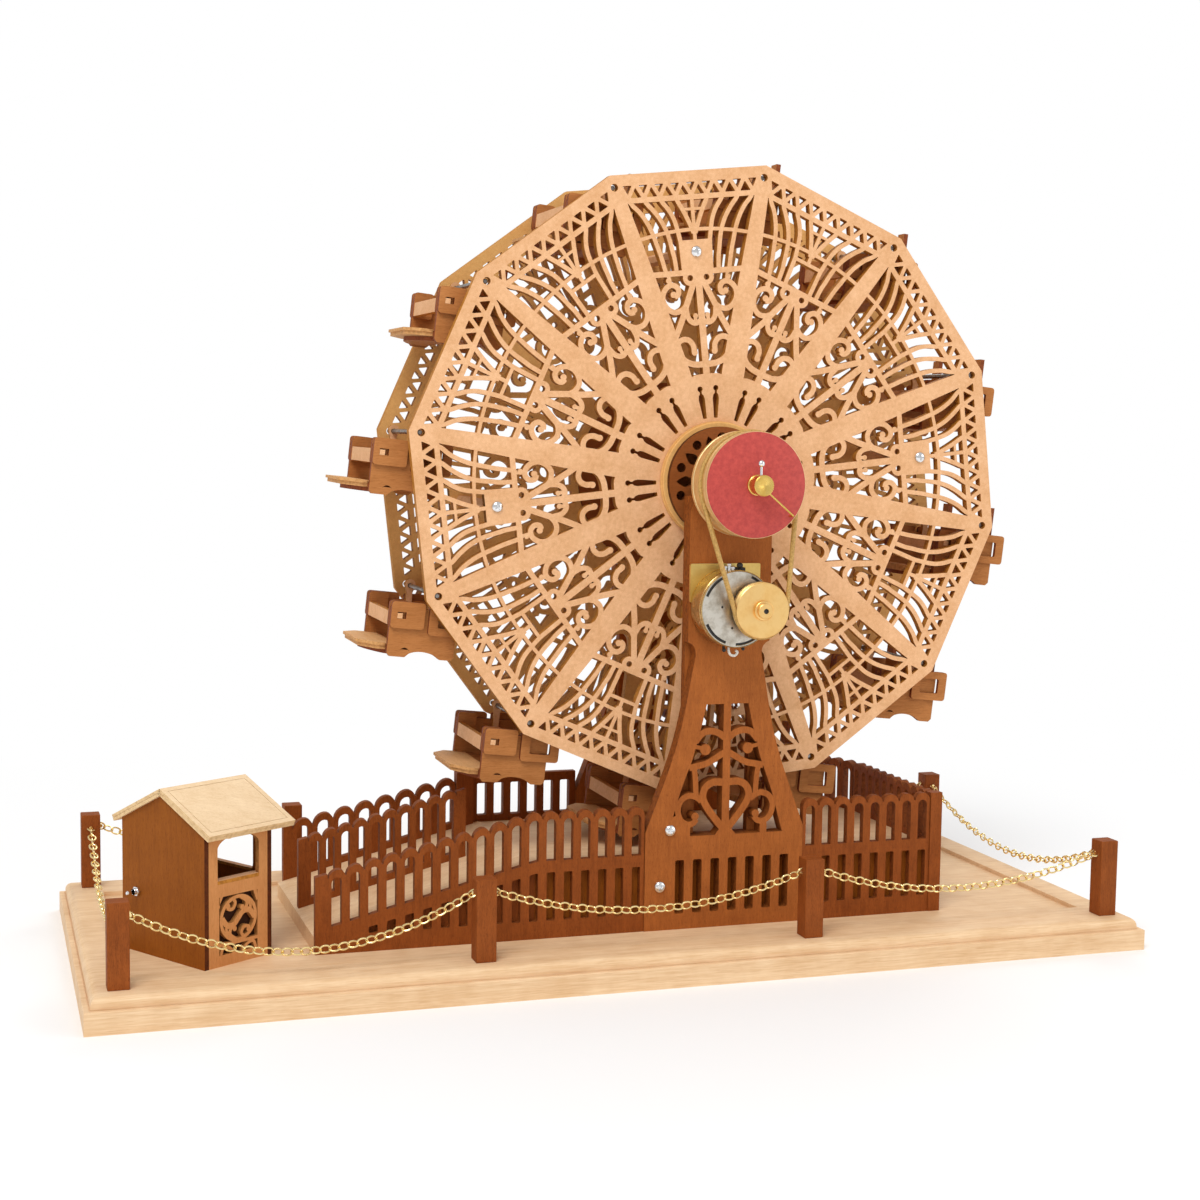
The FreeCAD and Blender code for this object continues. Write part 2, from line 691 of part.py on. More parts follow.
def make_wheel():
    """Discs, hub plates, rods and tie spacers: everything that turns as one."""
    make_disc("wheel_disc_front", FRONT)
    make_disc("wheel_disc_rear", REAR)
    face = size("disc_half_gap") + size("disc_board")
    rings, rosettes = [], []
    profile = [(size("axle_radius"), 0), (size("ring_radius"), 0),
               (size("ring_radius"), size("ring_board")), (size("axle_radius"), size("ring_board"))]
    for name, sign in (("Front", FRONT), ("Rear", REAR)):
        centre = Vector(size("wheel_x"), sign * face, size("axle_z"))
        rings.append(fixed("Hub_ring", turned(profile, centre, sign)))
        rosettes.append(make_rosette(name + "_rosette", sign))
    group("hub_rings", rings)
    group("hub_rosettes", rosettes)
    rods, spacers = [], []
    for number in range(GONDOLAS):
        x, z = on_wheel(size("pivot_radius"), STEP_ANGLE * (number + 0.5))
        rods.append(prism_y("Rod_%02d" % number, "$rod_radius",
                            "2 * ($disc_half_gap + $disc_board)", repr(x),
                            "-$disc_half_gap - $disc_board", repr(z),
                            STEP_ANGLE * (number + 0.5) + size("wheel_phase")))
    for number in range(4):
        x, z = on_wheel(size("tie_radius"), 90.0 * number)
        spacers.append(prism_y("Tie_%d" % number, "$tie_round", "2 * $disc_half_gap", repr(x),
                               "-$disc_half_gap", repr(z), 90.0 * number))
    group("gondola_rods", rods)
    group("tie_spacers", spacers)


def make_rosette(name, sign, count=8):
    """Pierced hub plate: round holes outside, leaves between them."""
    loops = [circle_loop(0, 0, size("rosette_radius")), circle_loop(0, 0, size("axle_radius"))]
    for number in range(count):
        leaf = [(0, 13.0), (3.0, 21.0), (0, 31.0), (-3.0, 21.0)]
        loops.append(turn_loop(leaf, 360.0 / count * (number + 0.5)))
    plate = board(name, loops, "$rosette_board", outward=sign < 0)
    set_on_axle(plate, "%g * ($disc_half_gap + $disc_board + $ring_board)" % sign)
    return plate


# ------------------------------------------------------------------ drive ----
def pulley_back():
    """Y of the large pulley's rear face."""
    return -size("platform_half") - size("pulley_stand_off")


def make_drive():
    """Axle with the large pulley, and the geared motor with the small one."""
    front = pulley_back() - size("pulley_width")
    tail = size("platform_half") + size("axle_tail")
    hub_end = front - size("hub_length")
    node(rod_y("Axle", "$axle_radius", repr(tail - hub_end + 0.5), "$wheel_x",
               repr(hub_end - 0.5), "$axle_z"), "axle")
    centre = Vector(size("wheel_x"), 0, size("axle_z"))
    node(fixed("Drive_pulley", grooved(centre, pulley_back(), front, size("pulley_radius"),
                                       size("axle_radius"))), "drive_pulley")
    barrel = turned([(size("axle_radius"), front), (size("hub_radius"), front),
                     (size("hub_radius"), hub_end), (size("axle_radius"), hub_end)], centre, 1)
    node(fixed("Hub", barrel), "pulley_hub")
    node(fixed("Wire", make_wire(front, hub_end)), "drive_wire")
    make_motor()
    make_belt()


def grooved(centre, back, front, radius, bore):
    """Pulley between two Y positions with a vee groove in the belt plane."""
    plane, half = size("belt_plane"), size("groove_half")
    groove = radius - size("groove_depth")
    profile = [(bore, back), (radius, back), (radius, plane + half), (groove, plane),
               (radius, plane - half), (radius, front), (bore, front)]
    return turned(profile, centre, 1)


def make_wire(front, hub_end):
    """Thin wire from the hub down to the right, bent in at the pulley's rim."""
    radius = size("wire_radius")
    start = Vector(size("wheel_x"), (front + hub_end) / 2, size("axle_z"))
    angle, hub = math.radians(-40.0), size("hub_radius")
    out = Vector(math.cos(angle), 0, math.sin(angle))
    first = start + out * hub
    knee = start + out * (size("pulley_radius") - 3.5)
    path = Part.makePolygon([first, knee, Vector(knee.x, front, knee.z)])
    section = section_at(first, out.cross(Vector(0, 1, 0)), radius, 6)
    return path.makePipeShell([section], True, True, 1)


def section_at(centre, across, radius, sides):
    """Section of a thin run that starts in the XZ plane."""
    turns = [math.radians(360.0 / sides * corner) for corner in range(sides + 1)]
    return Part.makePolygon([centre + across * radius * math.cos(turn)
                             + Vector(0, radius * math.sin(turn), 0) for turn in turns])


def make_motor():
    """Bracket plate, round gear motor with its terminal block, and its pulley."""
    y_plate = -size("platform_half") - size("bracket_board")
    node(box("Bracket", "2 * $block_half - 8.5", "$bracket_board", "$bracket_height",
             "$wheel_x - $block_half", repr(y_plate), "$motor_z + 3"), "motor_bracket")
    back, front = y_plate, y_plate - size("motor_depth")
    radius, z = size("motor_radius"), size("motor_z")
    can = turned([(0, back), (radius, back), (radius, front), (0, front)],
                 Vector(size("motor_x"), 0, z), 1)
    bore = size("shaft_radius") + size("running_gap")
    well = Part.makeCylinder(bore, 8.0, Vector(size("shaft_x"), front, z), Vector(0, 1, 0))
    block = Part.makeBox(12, 6, 4, Vector(size("motor_x") - 3, back - 8, z + radius - 0.4))
    can = can.cut(well)
    node(fixed("Motor", Part.makeCompound([can, block.cut(can)])), "motor_can")
    plane, wide = size("belt_plane"), size("motor_pulley_width")
    centre = Vector(size("shaft_x"), 0, z)
    wheel = grooved(centre, plane + wide / 2, plane - wide / 2, size("motor_pulley_radius"), 0)
    shaft = Part.makeCylinder(size("shaft_radius"), front + 7.0 - (plane + wide / 2),
                              Vector(size("shaft_x"), plane + wide / 2, z), Vector(0, 1, 0))
    node(fixed("Motor_pulley", wheel.fuse(shaft).removeSplitter()), "motor_pulley")


def belt_radii():
    """Radius of the belt's centre line on the large and the small pulley."""
    seat = size("belt_radius") + size("belt_gap") - size("groove_depth")
    return size("pulley_radius") + seat, size("motor_pulley_radius") + seat


def make_belt():
    """Round belt: two arcs on the pulleys and two tangent runs."""
    large, small = belt_radii()
    top = Vector(size("wheel_x"), size("belt_plane"), size("axle_z"))
    low = Vector(size("shaft_x"), size("belt_plane"), size("motor_z"))
    reach = low - top
    lean = math.atan2(reach.z, reach.x)
    spread = math.acos((large - small) / reach.Length)

    def rim(centre, radius, angle):
        return centre + Vector(radius * math.cos(angle), 0, radius * math.sin(angle))
    left, right = lean - spread, lean + spread
    path = Part.Wire([
        Part.Arc(rim(top, large, right), rim(top, large, lean + math.pi),
                 rim(top, large, left + 2 * math.pi)).toShape(),
        Part.makeLine(rim(top, large, left), rim(low, small, left)),
        Part.Arc(rim(low, small, left), rim(low, small, lean), rim(low, small, right)).toShape(),
        Part.makeLine(rim(low, small, right), rim(top, large, right))])
    start = rim(top, large, left)
    run = (rim(low, small, left) - start).normalize()
    section = section_at(start, run.cross(Vector(0, 1, 0)), size("belt_radius"), 4)
    belt = Part.Wire(Part.__sortEdges__(path.Edges)).makePipeShell([section], True, True)
    node(fixed("Belt", belt), "drive_belt")


# --------------------------------------------------------------- gondolas ----
def gondola_place(number):
    """Placement of one gondola: its pivot, with its rest lean."""
    x, z = on_wheel(size("pivot_radius"), STEP_ANGLE * (number + 0.5))
    return FreeCAD.Placement(Vector(x, 0, z),
                             FreeCAD.Rotation(Vector(0, 1, 0), size("gondola_lean")))


def slab(loops, thickness, y):
    """A board in the XZ plane as a plain solid, from y to y + thickness."""
    wires = []
    for loop in loops:
        curves = [curve.toShape() for curve in edges(loop)]
        wire = Part.Wire(Part.__sortEdges__(curves))
        wire.rotate(Vector(), Vector(1, 0, 0), 90)
        wires.append(wire)
    face = Part.Face(wires, "Part::FaceMakerBullseye")
    face.translate(Vector(0, y, 0))
    return face.extrude(Vector(0, thickness, 0))


def gondola_inner():
    """Half the width between the side panels."""
    return size("gondola_half") - size("arm_board") - size("side_board")


def gondola_frame():
    """Side panels, the arm plates outside them and the cut-out back board."""
    half, side, arm = size("gondola_half"), size("side_board"), size("arm_board")
    front, back, bottom = -size("body_front"), size("body_back"), -size("body_bottom")
    inner = gondola_inner()
    body = [(front, -10), (front, bottom), (front + 9, bottom), (front + 15, bottom + 4),
            (back - 9, bottom), (back, bottom), (back, -10)]
    top, low = -size("arm_top"), -size("arm_bottom")
    fore = rectangle(-size("arm_front"), low, -5, top)
    rear = rectangle(-2, low, size("arm_back"), top)
    solids = []
    for sign in (FRONT, REAR):
        solids.append(slab([body], side, min(sign * inner, sign * (inner + side))))
        for plate in (fore, rear):
            solids.append(slab([plate], arm, min(sign * (inner + side), sign * half)))
    crown, ear, seat = size("back_top"), inner - 9, -size("seat_depth")
    outline = [Vector(back - size("thin_board"), y, z) for y, z in (
        (-inner, seat), (inner, seat), (inner, crown), (ear, crown), (ear, top + 5),
        (-ear, top + 5), (-ear, crown), (-inner, crown), (-inner, seat))]
    solids.append(Part.Face(Part.makePolygon(outline)).extrude(Vector(size("thin_board"), 0, 0)))
    return Part.makeCompound(solids)


def gondola_boards():
    """Seat, floor with its foot board, lap bar and the two hangers."""
    inner = gondola_inner()
    thin, front, back = size("thin_board"), -size("body_front"), size("body_back")
    bottom, seat = 4 - size("body_bottom"), -size("seat_depth")
    bench = Part.makeBox(back - thin + 4, 2 * inner, thin, Vector(-4, -inner, seat))
    lap = Part.makeBox(5, 2 * inner, 11, Vector(front - 1, -inner, -19))
    reach, clip = -size("foot_reach"), 9.0
    outline = [(back, -inner), (back, inner), (reach + clip, inner),
               (reach, inner - clip), (reach, clip - inner), (reach + clip, -inner)]
    points = [Vector(x, y, bottom) for x, y in outline]
    foot = Part.Face(Part.makePolygon(points + points[:1])).extrude(Vector(0, 0, thin))
    solids = [bench, lap, foot]
    half = size("hanger_width") / 2
    gap = (size("rod_radius") + size("running_gap")) / math.cos(math.radians(30))
    hanger = [rectangle(-half, seat + thin, half, half * 1.3),
              [polar(gap, 60 * corner) for corner in range(6)]]
    for y in (-inner, inner - thin):
        solids.append(slab(hanger, thin, y))
    return Part.makeCompound(solids)


def make_gondolas():
    """Twelve gondolas; each hangs from its own rod."""
    frame, boards = gondola_frame(), gondola_boards()
    for number in range(GONDOLAS):
        for part_name, shape in (("frame", frame), ("boards", boards)):
            label = "gondola_%02d_%s" % (number + 1, part_name)
            item = fixed("Shape_" + label, shape.copy())
            item.Placement = gondola_place(number)
            node(item, label)


# ------------------------------------------------------------------ booth ----
def booth_place(along=0.0, deep=0.0, up=0.0):
    """Placement of a piece of the booth, from its front corner."""
    turn = FreeCAD.Rotation(Vector(0, 0, 1), size("booth_turn"))
    corner = Vector(size("booth_x"), size("booth_y"), floor_z())
    return FreeCAD.Placement(corner + turn.multVec(Vector(along, deep, up)), turn)


def window_wall_loops(width, fretwork):
    """Wall under an eave with an arched window over a pierced or plain panel."""
    high, sill = size("eave_height"), size("window_sill")
    left, right = 9.0, width - 9.0
    middle = width / 2
    window = [(left, sill), (right, sill), (right, high - 16), (right - 7, high - 9),
              (left + 7, high - 9), (left, high - 16)]
    loops = [rectangle(0, 0, width, high), window]
    if fretwork:
        for angle in (45, 135, 225, 315):
            x, z = polar(11.5, angle)
            loops.append([(middle + x - 4.2, 26 + z - 5), (middle + x + 4.2, 26 + z - 5),
                          (middle + x + 4.2, 26 + z + 5), (middle + x - 4.2, 26 + z + 5)])
        loops.append([(middle - 3, 26), (middle, 21.5), (middle + 3, 26), (middle, 30.5)])
    return loops


def make_booth():
    """Ticket booth: four walls, gable roof and a counter board at each window."""
    wide, deep, wall = size("booth_width"), size("booth_depth"), size("booth_wall")
    eave, ridge = size("eave_height"), size("ridge_height")
    walls = []
    inner = wide - 2 * wall
    for name, y, fretwork in (("Window_wall", 0.0, True), ("Rear_wall", deep - wall, False)):
        item = board(name, window_wall_loops(inner, fretwork), "$booth_wall")
        item.Placement = booth_place(wall, y)
        walls.append(item)
    gable = [(0, 0), (deep, 0), (deep, eave), (deep / 2, ridge), (0, eave)]
    for name, x, hole in (("Switch_wall", 0.0, True), ("Far_wall", wide - wall, False)):
        loops = [gable]
        if hole:
            loops.append(circle_loop(size("switch_along"), size("switch_height"),
                                     size("switch_bore") + size("switch_tube")))
        item = board(name, loops, "$booth_wall", role="YZ_Plane")
        item.Placement = booth_place(x, 0.0)
        walls.append(item)
    group("booth_walls", walls)
    rise = (ridge - eave) / (deep / 2)
    over, thick = size("roof_overhang"), size("roof_board")
    low = eave - rise * over
    upright = thick / math.cos(math.atan(rise))
    profile = [(-over, low), (deep / 2, ridge), (deep + over, low), (deep + over, low + upright),
               (deep / 2, ridge + upright), (-over, low + upright)]
    roof = board("booth_roof", [profile], "$booth_width + $roof_reach + 2", role="YZ_Plane")
    roof.Placement = booth_place(-2.0, 0.0)
    node(roof, "booth_roof")
    sill, reach = size("window_sill"), 6.0
    counters = []
    for name, y in (("Front_counter", wall), ("Rear_counter", deep - wall - reach)):
        item = box(name, repr(inner), repr(reach), "2.5", "0", "0", "0")
        for axis in "xyz":
            item.setExpression("Placement.Base." + axis, None)
        item.Placement = booth_place(wall, y, sill - 2.5)
        counters.append(item)
    group("booth_counters", counters)
    make_switch()


def make_switch():
    """Toggle switch in the solid gable wall: body and nut, then the lever."""
    along, up, wall = size("switch_along"), size("switch_height"), size("booth_wall")
    bore, outer = size("switch_bore"), size("switch_bore") + size("switch_tube")
    seat = booth_place(0.0, along, up)
    inside = Part.makeBox(9, 13, 8, Vector(wall, -6.5, -4))
    barrel = Part.makeCylinder(outer, wall + 2.6, Vector(-2.6, 0, 0), Vector(1, 0, 0))
    tube = inside.fuse(barrel)
    mouth = Part.makeCylinder(bore, wall + 2.6, Vector(-2.6, 0, 0), Vector(1, 0, 0))
    body = tube.cut(mouth).removeSplitter()
    item = fixed("Switch", body)
    item.Placement = seat
    node(item, "switch_body")
    radius, length = size("lever_radius"), size("lever_length")
    ends = [Vector(size("lever_root"), radius * math.cos(turn), radius * math.sin(turn))
            for turn in [math.radians(60 * corner) for corner in range(7)]]
    knob = Part.Face(Part.makePolygon(ends)).extrude(Vector(-length, 0, 0))
    lever = fixed("Lever", knob)
    lever.Placement = seat
    node(lever, "switch_lever")


# ----------------------------------------------------------------- export ----
def check():
    """Stop on a failed feature or a bad shape."""
    for item in DOCUMENT.Objects:
        if "Invalid" in item.State or "Error" in item.State:
            raise RuntimeError("%s: %s" % (item.Label, item.State))
    for item in NODES:
        if item.Shape.isNull() or not item.Shape.isValid() or not item.Shape.Solids:
            raise RuntimeError("%s has no valid solid" % item.Label)


def main():
    """Build every sub-part, check it and write one STEP file for each."""
    make_base()
    make_barrier()
    make_platform()
    make_fences()
    make_tower("front_tower", FRONT)
    make_tower("rear_tower", REAR)
    make_wheel()
    make_drive()
    make_gondolas()
    make_booth()
    DOCUMENT.recompute()
    check()
    os.makedirs("parts", exist_ok=True)
    triangles = 0
    for item in NODES:
        item.Shape.exportStep(os.path.join("parts", item.Label + ".step"))
        triangles += len(item.Shape.tessellate(0.1)[1])
    print("%d nodes, %d triangles" % (len(NODES), triangles))


main()
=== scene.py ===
"""Looks of a motor driven Ferris wheel model, sawn from thin boards.

Every class below is one sub-assembly.  Its fields are sizes in millimetres and
its methods build the meshes, which are kept in metres, in the frame of the
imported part: +X along the base, +Y to the rear, +Z up.
"""
import json
import logging
from collections.abc import Callable, Iterable, Sequence
from dataclasses import dataclass, field
from enum import Enum
from math import acos, asin, atan2, cos, degrees, hypot, radians, sin, tan

import bmesh
import bpy
import numpy as np
from bpy.types import ID, Material, Mesh, Node, NodeSocket, NodeTree, Object, ShaderNodeTree
from mathutils import Matrix, Vector
from mathutils.geometry import delaunay_2d_cdt

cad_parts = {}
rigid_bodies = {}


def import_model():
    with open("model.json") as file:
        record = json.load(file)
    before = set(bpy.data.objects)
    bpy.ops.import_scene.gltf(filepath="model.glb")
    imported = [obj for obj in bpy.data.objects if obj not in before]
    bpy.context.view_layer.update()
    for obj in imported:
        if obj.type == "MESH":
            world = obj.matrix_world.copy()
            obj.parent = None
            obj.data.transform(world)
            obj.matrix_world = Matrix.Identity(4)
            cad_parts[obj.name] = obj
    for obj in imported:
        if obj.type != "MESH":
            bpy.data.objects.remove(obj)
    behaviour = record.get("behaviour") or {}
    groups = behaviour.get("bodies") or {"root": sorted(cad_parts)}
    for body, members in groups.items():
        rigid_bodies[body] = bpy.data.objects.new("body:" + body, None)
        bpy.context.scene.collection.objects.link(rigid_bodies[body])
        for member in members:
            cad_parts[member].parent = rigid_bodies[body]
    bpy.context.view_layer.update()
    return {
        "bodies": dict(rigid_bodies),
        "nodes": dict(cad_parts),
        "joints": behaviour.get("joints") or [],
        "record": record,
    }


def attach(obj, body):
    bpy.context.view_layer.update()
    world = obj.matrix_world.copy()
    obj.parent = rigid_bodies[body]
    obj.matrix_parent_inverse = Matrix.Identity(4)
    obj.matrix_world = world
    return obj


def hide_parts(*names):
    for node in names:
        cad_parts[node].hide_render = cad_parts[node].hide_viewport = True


LOG = logging.getLogger("ferris_wheel")
MM = 0.001
SIDES = 12
STEP = 360.0 / SIDES
CUT = "cut_edge"
CREASE = radians(35.0)
SLOT_PITCH = 12.3
COLOUR, VALUE, VECTOR = "NodeSocketColor", "NodeSocketFloat", "NodeSocketVector"

Point = tuple[float, float]
Loop = list[Point]


class Grain(Enum):
    """Direction in which the fibres of a board run."""

    ALONG = (1, 0, 0)
    ACROSS = (0, 1, 0)
    UPRIGHT = (0, 0, 1)
    PLAIN = (0, 0, 0)


class Body(Enum):
    """Moving groups of the part that are not numbered."""

    STAND = "stand"
    WHEEL = "wheel"
    MOTOR_PULLEY = "motor_pulley"
    SWITCH_LEVER = "switch_lever"


# ---- flat shapes

def polar(radius: float, angle: float) -> Point:
    """Point at a radius and an angle in degrees from +X."""
    return (radius * cos(radians(angle)), radius * sin(radians(angle)))


def arc(x: float, y: float, radius: float, start: float, end: float, steps: int) -> Loop:
    """Points of a circular arc.

    Args:
        x: Centre, first coordinate.
        y: Centre, second coordinate.
        radius: Radius.
        start: First angle in degrees.
        end: Last angle in degrees.
        steps: Number of chords.

    Returns:
        The points, both ends included.
    """
    turn = [start + (end - start) * number / steps for number in range(steps + 1)]
    return [(x + polar(radius, angle)[0], y + polar(radius, angle)[1]) for angle in turn]


def disc(x: float, y: float, radius: float, steps: int = 24) -> Loop:
    """Closed circle as a loop of points."""
    return arc(x, y, radius, 0, 360 - 360 / steps, steps - 1)


def rectangle(left: float, low: float, right: float, high: float) -> Loop:
    """Closed rectangle as a loop of points."""
    return [(left, low), (right, low), (right, high), (left, high)]


def mirrored(loop: Sequence[Point]) -> Loop:
    """The loop reflected in the second axis, still in the same turning sense."""
    return [(-x, y) for x, y in reversed(loop)]


def turned(loop: Sequence[Point], angle: float) -> Loop:
    """The loop turned about the origin by an angle in degrees."""
    cosine, sine = polar(1.0, angle)
    return [(x * cosine - y * sine, x * sine + y * cosine) for x, y in loop]


def moved(loop: Sequence[Point], x: float, y: float) -> Loop:
    """The loop shifted by a vector."""
    return [(x + u, y + v) for u, v in loop]


def rounded(loop: Sequence[Point], radius: float, steps: int = 4) -> Loop:
    """The loop with every corner replaced by an arc.

    Args:
        loop: Corners of a polygon.
        radius: Corner radius, cut down where a side is too short for it.
        steps: Chords in each corner.

    Returns:
        The rounded loop.
    """
    corners = [Vector(point) for point in loop]
    result: Loop = []
    for number, corner in enumerate(corners):
        before, after = corners[number - 1] - corner, corners[(number + 1) % len(corners)] - corner
        half = before.angle(after) / 2
        reach = min(radius / tan(half), before.length * 0.45, after.length * 0.45)
        first, last = corner + before.normalized() * reach, corner + after.normalized() * reach
        for step in range(steps + 1):
            share = step / steps
            bend = first.lerp(corner, share).lerp(corner.lerp(last, share), share)
            result.append((bend.x, bend.y))
    return result


def smooth(points: Sequence[Point], steps: int = 5) -> Loop:
    """Catmull-Rom curve through the points.

    Args:
        points: Points that the curve passes through.
        steps: Chords between two of them.

    Returns:
        The points of the curve, both ends included.
    """
    knots = [Vector(point) for point in points]
    knots = [2 * knots[0] - knots[1], *knots, 2 * knots[-1] - knots[-2]]
    result: Loop = []
    for a, b, c, d in zip(knots, knots[1:], knots[2:], knots[3:]):
        for step in range(steps):
            t = step / steps
            spot = 0.5 * (2 * b + (c - a) * t + (2 * a - 5 * b + 4 * c - d) * t * t
                          + (3 * b - a - 3 * c + d) * t ** 3)
            result.append((spot.x, spot.y))
    result.append((knots[-2].x, knots[-2].y))
    return result


def ribbon(points: Sequence[Point], width: float, steps: int = 5) -> Loop:
    """Closed outline of a band of even width along a smooth curve.

    Args:
        points: Points of the band's middle line.
        width: Width of the band.
        steps: Chords between two points; 0 keeps the straight runs.

    Returns:
        The outline as a loop.
    """
    line = np.array(smooth(points, steps) if steps else points)
    along = np.gradient(line, axis=0)
    along /= np.linalg.norm(along, axis=1)[:, None]
    side = np.stack([-along[:, 1], along[:, 0]], axis=1) * width / 2
    return [tuple(p) for p in np.concatenate([line - side, (line + side)[::-1]])]


def winding(loop: Sequence[Point], spots: np.ndarray) -> np.ndarray:
    """Tells which spots lie inside a loop, overlaps of the loop included.

    Args:
        loop: The loop.
        spots: Array of points, one per row.

    Returns:
        One truth value for each spot.
    """
    start = np.array(loop)
    end = np.roll(start, -1, axis=0)
    low, high = start.min(axis=0), start.max(axis=0)
    near = np.all((spots >= low) & (spots <= high), axis=1)
    x, y = spots[near, 0][:, None], spots[near, 1][:, None]
    rise = (start[:, 1] <= y) & (end[:, 1] > y)
    fall = (start[:, 1] > y) & (end[:, 1] <= y)
    side = (end[:, 0] - start[:, 0]) * (y - start[:, 1]) - (x - start[:, 0]) * (end[:, 1] - start[:, 1])
    turns = np.sum(rise & (side > 0), axis=1) - np.sum(fall & (side < 0), axis=1)
    result = np.zeros(len(spots), dtype=bool)
    result[near] = turns != 0
    return result


@dataclass
class Flat:
    """A flat shape: everything inside a solid loop and outside every cut."""

    solids: list[Loop]
    cuts: list[Loop] = field(default_factory=list)

    def faces(self) -> tuple[np.ndarray, np.ndarray, list[tuple[int, int]]]:
        """Triangulates the shape.

        Returns:
            The points, the triangles and the edges of the outline, which run
            with the shape on their left.
        """
        points: list[Vector] = []
        edges: list[tuple[int, int]] = []
        for loop in self.solids + self.cuts:
            first, count = len(points), len(loop)
            points += [Vector(point) for point in loop]
            edges += [(first + n, first + (n + 1) % count) for n in range(count)]
        spots, _, cells, *_ = delaunay_2d_cdt(points, edges, [], 0, 1e-4)
        corners = np.array([tuple(spot) for spot in spots])
        triangles = np.array([cell for cell in cells if len(cell) == 3])
        middles = corners[triangles].mean(axis=1)
        keep = np.zeros(len(triangles), dtype=bool)
        for loop in self.solids:
            keep |= winding(loop, middles)
        for loop in self.cuts:
            keep &= ~winding(loop, middles)
        triangles = triangles[keep]
        a, b, c = (corners[triangles[:, n]] for n in range(3))
        area = (b[:, 0] - a[:, 0]) * (c[:, 1] - a[:, 1]) - (b[:, 1] - a[:, 1]) * (c[:, 0] - a[:, 0])
        longest = np.max([np.hypot(*(p - q).T) for p, q in ((a, b), (b, c), (c, a))], axis=0)
        triangles = np.where((area < 0)[:, None], triangles[:, ::-1], triangles)
        triangles = triangles[np.abs(area) > 1e-3 * longest]
        sides = {(int(t[n]), int(t[(n + 1) % 3])) for t in triangles for n in range(3)}
        return corners, triangles, [edge for edge in sides if (edge[1], edge[0]) not in sides]


@dataclass(frozen=True)
class Plane:
    """Where a board's face lies: its origin and the directions it reads in."""

    origin: tuple[float, float, float]
    right: tuple[float, float, float] = (1, 0, 0)
    up: tuple[float, float, float] = (0, 0, 1)

    def at(self, across: float, height: float, depth: float) -> Vector:
        """Point of the board, at a depth behind its face."""
        right, up = Vector(self.right), Vector(self.up)
        return Vector(self.origin) + right * across + up * height - right.cross(up) * depth


def level(height: float) -> Plane:
    """Plane of the upper face of a board that lies flat."""
    return Plane((0, 0, height), (1, 0, 0), (0, 1, 0))


# ---- solid shapes

